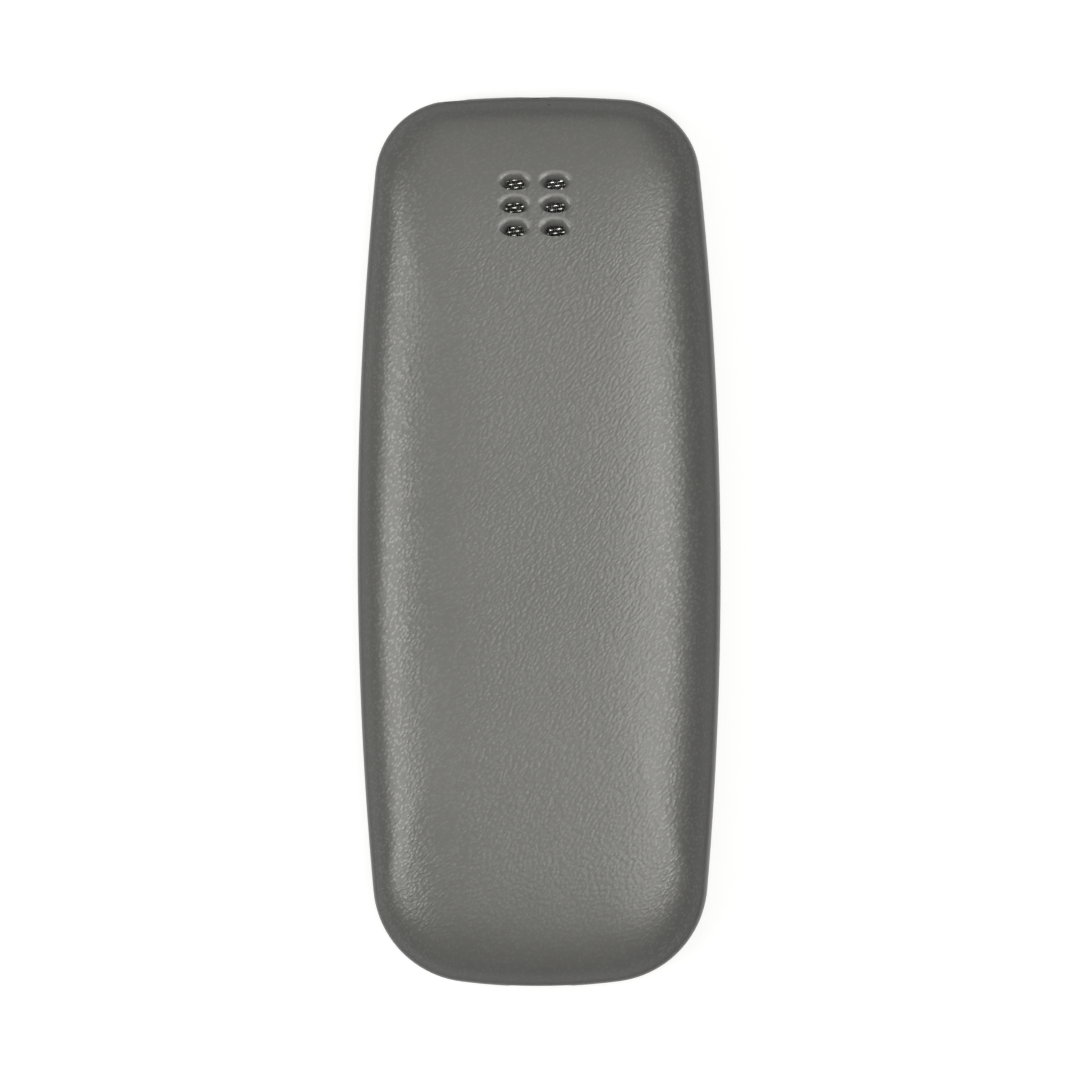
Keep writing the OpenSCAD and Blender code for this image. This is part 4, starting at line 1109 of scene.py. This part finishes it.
key_set(key_nodes)
key_set(side_nodes)

# %% [markdown]
# ### Navigation ring and select key
#
# The ring rocks on a carrier and presses four domes. Its hole is flared, and
# the select key stands in it with a little room all round. Four short bars on
# the ring show the ways it rocks.

# %% Ring and select key
middle, width, height = key_frame("nav_ring")
ring_low, ring_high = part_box("nav_ring")
flange_low = plate + 0.45 * MM
flange_high = flange_low + 0.4 * MM


def ring_level(w, h, r, z):
    return moved(soft_rectangle(w, h, r), middle.x, middle.y, z)


corner = 6 * MM
ring_fillet = 0.5 * MM
flange_size = width + 2 * flange, height + 2 * flange, corner + flange
rings = [ring_level(*flange_size, z) for z in (flange_high, flange_low)]
rings.append(ring_level(width, height, corner, flange_low))
for drop, inset in flare(ring_fillet, 7):
    rings.append(ring_level(width - 2 * inset, height - 2 * inset, corner - inset, ring_low.z + drop))
nav = stack_rings("navigation_ring", rings)
for side in (-1, 1):
    y = middle.y + (4.4 * MM if side > 0 else -6.66 * MM)
    carve(nav, rod(0, y, flange_high, 0.56 * MM, 2.26 * MM, toward_top), "UNION")
    nub_low = flange_high - 0.1 * MM
    carve(nav, rod(side * 5.7 * MM, middle.y, nub_low, 2 * MM, ring_high.z - nub_low), "UNION")
carve(nav, face_opening(0, middle.y, 7.8 * MM, 7.8 * MM, 3.2 * MM, ring_low.z, 0.3 * MM, 3 * MM))
smooth(nav, 40)
dress(nav, key_plastic, "nav_ring", "key_plastic", "nav_ring")

low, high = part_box("select_key")
rings = key_rings((low + high) / 2, 7 * MM, 7 * MM, 2.8 * MM, low.z, high.z)
flangeless = rings[:3] + rings[5:]
for i in (2, 3):
    flangeless[i] = level(flangeless[i], plate + 0.55 * MM)
select = stack_rings("select_top", flangeless)
smooth(select, 45)
dress(select, key_plastic, "select_key", "key_plastic", "select_key")

# %% [markdown]
# ### Printed signs
#
# The keys carry plain numbers, letters and signs in white, and the call and end
# keys a small handset in green and red. Words are text objects that are turned
# to face the front and made a mesh, so that each lies on its key as a thin coat.


# %% Paint and words
def ink(name, colour):
    pit_dirt_and_shade = tuple(0.85 * c for c in colour)
    return grained_plastic(name, colour, pit_dirt_and_shade, 0.4, 2600, 0.003 * MM)


white_print = ink("white print", (0.75, 0.75, 0.73))
coat = 0.015 * MM


def word(text, size, place):
    """Flat letters that face the front, with their middle at a place."""
    nothing_selected()
    bpy.ops.object.text_add()
    mark = bpy.context.active_object
    mark.data.body = text
    mark.data.size = size
    mark.data.extrude = coat
    mark.data.align_x = "CENTER"
    mark.data.align_y = "CENTER"
    bpy.ops.object.convert(target="MESH")
    mark = bpy.context.active_object
    mark.rotation_euler = (0, math.pi, 0)
    mark.location = place
    bpy.ops.object.transform_apply(location=True, rotation=True, scale=True)
    return mark


def on_key(node, aside):
    """A place on the top of a key, aside from its middle."""
    low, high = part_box(node)
    middle = (low + high) / 2
    return Vector((middle.x + aside, middle.y, low.z))


def bow(piece, node):
    """Lay a flat sign on the crown of a key: each point sinks as the crown does there."""
    middle = key_frame(node)[0]
    for vertex in piece.data.vertices:
        vertex.co.z += (vertex.co.x - middle.x) ** 2 / (2 * crown_radius)


def flat_shape(name, points, place):
    """A thin coat with a drawn outline, on the front."""
    levels = [place.z + side * coat for side in (1, -1)]
    return stack_rings(name, [moved(points, place.x, place.y, z) for z in levels])


def one(place):
    """A number one with its flag, drawn point by point as the front shows it."""
    drawn = [(0.25, -1.3), (0.25, 1.3), (-0.15, 1.3), (-0.75, 0.85), (-0.75, 0.45)]
    drawn += [(-0.15, 0.8), (-0.15, -1.3)]
    return flat_shape("one", [Vector((-x, y)) * MM for x, y in drawn], place)


signs = "1 2abc 3def 4ghi 5jkl 6mno 7pqrs 8tuv 9wxyz *+ 0_ #".split()
for node, (number, *letters) in zip(key_nodes, signs):
    place = on_key(node, 2.3 * MM if letters else 0)
    marks = [one(place) if number == "1" else word(number, 3.6 * MM, place)]
    if letters:
        marks.append(word("".join(letters), 2 * MM, on_key(node, -1.9 * MM)))
    sign = join(marks)
    sign.name = node + "_sign"
    bow(sign, node)
    dress(sign, white_print, node, "white_plastic")

# %% [markdown]
# ### Handsets and bars
#
# The call and end keys, the soft keys and the ring carry signs without letters.
# Each is an outline that is drawn in code and made a thin coat, like a stencil.


# %% Bars and handsets
def handset(lean):
    """Outline of a small handset: a bow with a thicker pad at each end."""
    bow_radius = 1.85 * MM
    outer = []
    inner_side = []
    for i in range(31):
        share = -1 + 2 * i / 30
        turn = math.pi / 2 + share * 1.05 + lean
        thick = 0.5 * MM if abs(share) > 0.66 else 0.27 * MM
        way = Vector((math.cos(turn), math.sin(turn)))
        outer.append(way * bow_radius)
        inner_side.append(way * (bow_radius - 2 * thick))
    return [p - Vector((0, 1.1 * MM)) for p in outer + inner_side[::-1]]


def strokes(name, middle, bars, radius):
    """A sign of short bars, each with its place and its size in mm."""
    made = []
    for x, y, wide, tall in bars:
        points = soft_rectangle(wide * MM, tall * MM, radius)
        made.append(flat_shape("bar", points, middle + Vector((x, y, 0)) * MM))
    sign = join(made)
    sign.name = name
    return sign


green_print = ink("green print", (0.03, 0.42, 0.09))
red_print = ink("red print", (0.55, 0.02, 0.02))
dash = soft_rectangle(3 * MM, 0.5 * MM, 0.25 * MM)
stencils = {"call_key": (green_print, handset(0.5)), "end_key": (red_print, handset(0))}
stencils.update({"soft_key_left": (white_print, dash), "soft_key_right": (white_print, dash)})
for node, (finish, points) in stencils.items():
    sign = flat_shape(node + "_sign", points, on_key(node, 0))
    bow(sign, node)
    dress(sign, finish, node, "white_plastic")
four_ways = ((6, 0, 0.4, 1.6), (-6, 0, 0.4, 1.6), (0, 5.5, 1.6, 0.4), (0, -5.5, 1.6, 0.4))
bars = strokes("navigation_bars", on_key("nav_ring", 0), four_ways, 0.2 * MM)
dress(bars, white_print, "nav_ring", "white_plastic")

# %% [markdown]
# ## Display window
#
# The window is a clear plate, printed black from behind round the view. Seen
# from outside, both are dark and glossy, and only the sheen and a trace of blue
# tell the view from its border. A mask from the object's own coordinates does
# that, so the border stays sharp.


# %% Window plate
def inside_box(tree, middle, half):
    """One inside a rectangle in X and Y, zero outside."""
    inside = []
    for value, centre, reach in zip(coordinates(tree), middle, half):
        off = math_node(tree, "ABSOLUTE", math_node(tree, "SUBTRACT", value, centre))
        inside.append(math_node(tree, "LESS_THAN", off, reach))
    return times(tree, *inside)


def window_finish():
    material, tree, shader, place = new_finish("window with black border")
    view = inside_box(tree, window_middle, view_half)
    smudge = add_node(tree, "TexNoise", {"Vector": place, "Scale": 70, "Detail": 6})["Fac"]
    feed(tree, shader, {
        "Base Color": mix_colour(tree, view, (0.004, 0.004, 0.004), (0.012, 0.016, 0.022)),
        "Roughness": math_node(tree, "MULTIPLY_ADD", smudge, 0.1, 0.02),
        "Coat Weight": 0.6,
    })
    return material


rings = []
for depth, inset in ((0.8, 0), (0.12, 0), (0.05, 0.03), (0.01, 0.09), (0, 0.16)):
    width, height = [size - 2 * inset * MM for size in window_size.xy]
    points = soft_rectangle(width, height, 2.9 * MM - inset * MM)
    rings.append(moved(points, window_middle.x, window_middle.y, window_low.z + depth * MM))
window = stack_rings("window", rings)
smooth(window, 50)
dress(window, window_finish(), "phone_body", "window_glass", "display_window")

# %% [markdown]
# ## Inner pieces
#
# Under the cover lie the frame, the battery, the card holders and the small
# parts. They're plain mouldings, cans and springs, so each keeps the form of its
# solid. What their solids lack is the small round along every edge that light
# catches on. A copy is merged, its flat faces are dissolved into one each, and a
# Bevel modifier rounds the sharp edges.


# %% Rounding a copy of a solid
sharp_turn = 40


def softened(finish, slot, **widths):
    """Copies of solids that share a finish, each with its edges rounded by a width in mm."""
    for node, width in widths.items():
        source = nodes[node]
        piece = bpy.data.objects.new(node + "_soft", source.data.copy())
        bpy.context.scene.collection.objects.link(piece)
        edit_all(piece)
        bpy.ops.mesh.remove_doubles(threshold=0.001 * MM)
        bpy.ops.mesh.dissolve_limited(angle_limit=math.radians(1))
        bpy.ops.object.mode_set(mode="OBJECT")
        modify(piece, "BEVEL", width=width * MM, segments=2, limit_method="ANGLE",
               angle_limit=math.radians(sharp_turn))
        smooth(piece, sharp_turn)
        dress(piece, finish, source["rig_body"], slot, node)


print("edges that turn by more than", sharp_turn, "degrees get rounded")

# %% [markdown]
# ### Frame, screws and antenna
#
# The frame is glass-filled plastic, nearly black and dull. Six screws with
# crossed slots hold it, and a copper pattern on its lower shelf is the antenna.

# %% Frame, screws and antenna
frame_plastic = grained_plastic(
    "black frame plastic", (0.046, 0.046, 0.048), (0.036, 0.036, 0.038), 0.48, 2400, 0.012 * MM, 0.5
)
copper = metal("copper foil", (0.72, 0.4, 0.2), (0.55, 0.29, 0.15), 0.32, (4000, 300, 4000))
softened(frame_plastic, "frame_plastic", frame=0.12)
softened(steel, "bright_steel", frame_screws=0.08)
softened(copper, "gold_contact", antenna=0.02)

# %% [markdown]
# ### Battery
#
# The cell is wrapped in dark foil with a lighter printed field. The field is a
# mask in the material, because print has no height. Plus and minus signs beside
# the gold pads tell how it goes in.


# %% Battery
def wrap_finish():
    material, tree, shader, place = new_finish("battery wrap")
    middle = (0, -13 * MM)
    field = inside_box(tree, middle, (14.2 * MM, 19.5 * MM))
    heart = inside_box(tree, middle, (13.9 * MM, 19.2 * MM))
    foil = add_node(tree, "Group", {"Vector": place, "Stretch": (2500, 60, 2500)}, node_tree=streaks)
    bordered = mix_colour(tree, field, (0.03, 0.031, 0.034), (0.35, 0.35, 0.35))
    printed = mix_colour(tree, heart, bordered, (0.075, 0.078, 0.085))
    worn = ramp_node(tree, foil["Tone"], 0.5, 0.8)
    feed(tree, shader, {
        "Base Color": mix_colour(tree, worn, printed, (0.06, 0.06, 0.06)),
        "Roughness": math_node(tree, "MULTIPLY_ADD", foil["Streaks"], 0.25, 0.22),
        "Metallic": 0.35,
        "Normal": bump(tree, foil["Tone"], 0.02 * MM, 0.5),
    })
    return material


black_plastic = grained_plastic(
    "black moulded plastic", (0.014, 0.014, 0.015), (0.01, 0.01, 0.011), 0.42, 3000, 0.006 * MM
)
gold = metal("gold plating", (0.85, 0.62, 0.24), (0.7, 0.48, 0.18), 0.25, (4000, 400, 4000))
softened(wrap_finish(), "battery_wrap", battery_cell=0.15)
softened(black_plastic, "black_plastic", battery_cap=0.15)
softened(gold, "gold_contact", battery_terminals=0.03)
pole_place = Vector((0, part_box("battery_cap")[0].y + 1.7 * MM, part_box("battery_cell")[1].z))
plus_and_minus = ((-3, 0, 1.5, 0.32), (-3, 0, 0.32, 1.5), (3, 0, 1.5, 0.32))
poles = strokes("battery_poles", pole_place, plus_and_minus, 0.05 * MM)
dress(poles, white_print, "battery", "white_plastic")

# %% [markdown]
# ### Board, shields, holders and contacts
#
# The board is green solder mask over copper tracks. The tracks show as slightly
# lighter lines, which two crossed wave textures draw. Cans, holders and the
# charging port are tinned steel, and the springs are gold plated.


# %% Board and metal parts
def board_finish():
    material, tree, shader, place = new_finish("green board")
    tracks = []
    for axis, scale in (("X", 150), ("Y", 110)):
        lines = {"Vector": place, "Scale": scale, "Distortion": 6, "Detail": 0, "Detail Scale": 0.5}
        wave = add_node(tree, "TexWave", lines, bands_direction=axis)
        tracks.append(ramp_node(tree, wave["Fac"], 0.8, 0.9))
    either = math_node(tree, "MAXIMUM", *tracks)
    feed(tree, shader, {
        "Base Color": mix_colour(tree, either, (0.008, 0.07, 0.03), (0.025, 0.14, 0.06)),
        "Roughness": 0.28,
        "Normal": bump(tree, either, 0.015 * MM),
    })
    return material


tin = metal("tinned steel", (0.6, 0.6, 0.59), (0.45, 0.45, 0.45), 0.36, (300, 3000, 3000))
even = (2500, 2500, 2500)
sintered = metal("sintered weight", (0.33, 0.32, 0.3), (0.24, 0.23, 0.22), 0.48, even, 0.01 * MM)
softened(board_finish(), "board_laminate", main_board=0.05)
softened(tin, "bright_steel", rf_shield=0.15, processor_shield=0.15, usb_port=0.06)
softened(steel, "bright_steel", card_holder_left=0.06, card_holder_right=0.06)
softened(steel, "bright_steel", vibration_motor=0.12, snap_domes=0.01)
softened(sintered, "bright_steel", vibration_weight=0.1)
softened(dark_wire_and_painted_shade, "bright_steel", microphone=0.1, earpiece_mesh=0.02)
softened(black_plastic, "black_plastic", battery_connector=0.12)
softened(gold, "gold_contact", battery_springs=0.03)

# %% [markdown]
# ### Sound, light and soft parts
#
# The loudspeaker and the socket are black plastic, foam and rubber are dull and
# coarse, and the torch has a clear lens in front of a pale light source. The
# film under the keys is cloudy, and the display ribbon is amber.


# %% Clear, soft and pale parts
def lens_finish():
    material, tree, shader, place = new_finish("clear lens")
    ripple = add_node(tree, "TexNoise", {"Vector": place, "Scale": 900})["Fac"]
    feed(tree, shader, {
        "Base Color": (0.93, 0.95, 0.96, 1),
        "Roughness": math_node(tree, "MULTIPLY_ADD", ripple, 0.12, 0.04),
        "Transmission Weight": 0.9,
        "IOR": 1.49,
    })
    return material


rubber_grey = (0.075, 0.077, 0.08)
rubber = grained_plastic("grey rubber", rubber_grey, (0.06, 0.062, 0.065), 0.62, 2200, 0.01 * MM, 0.4)
foam = grained_plastic("black foam", (0.02, 0.02, 0.021), (0.012, 0.012, 0.013), 0.8, 2600, 0.05 * MM, 0.25)
pale = grained_plastic("pale plastic", (0.72, 0.72, 0.69), (0.64, 0.64, 0.61), 0.4, 2600, 0.004 * MM)
amber = grained_plastic("amber ribbon", (0.42, 0.17, 0.03), (0.33, 0.13, 0.02), 0.3, 3000, 0.003 * MM)
cloudy = grained_plastic("cloudy film", (0.5, 0.45, 0.32), (0.43, 0.38, 0.27), 0.35, 2600, 0.004 * MM)
view_blue = (0.012, 0.016, 0.022)
panel = grained_plastic("dark panel glass", view_blue, (0.01, 0.013, 0.018), 0.12, 2600, 0.0004 * MM)
softened(black_plastic, "black_plastic", loudspeaker=0.15, headphone_jack=0.15, earpiece=0.12)
softened(key_plastic, "key_plastic", nav_carrier=0.05)
softened(foam, "soft_rubber", speaker_seal=0.12, lcd_foam=0.08)
softened(rubber, "soft_rubber", key_web=0.06, microphone_boot=0.08)
softened(pale, "white_plastic", torch_led=0.1, backlight_tray=0.08)
softened(lens_finish(), "lens_clear", torch_lens=0.3)
softened(panel, "panel_glass", lcd_panel=0.05)
softened(amber, "board_laminate", display_flex=0.02)
softened(cloudy, "board_laminate", dome_film=0.02)
print("nodes dressed:", len(nodes))
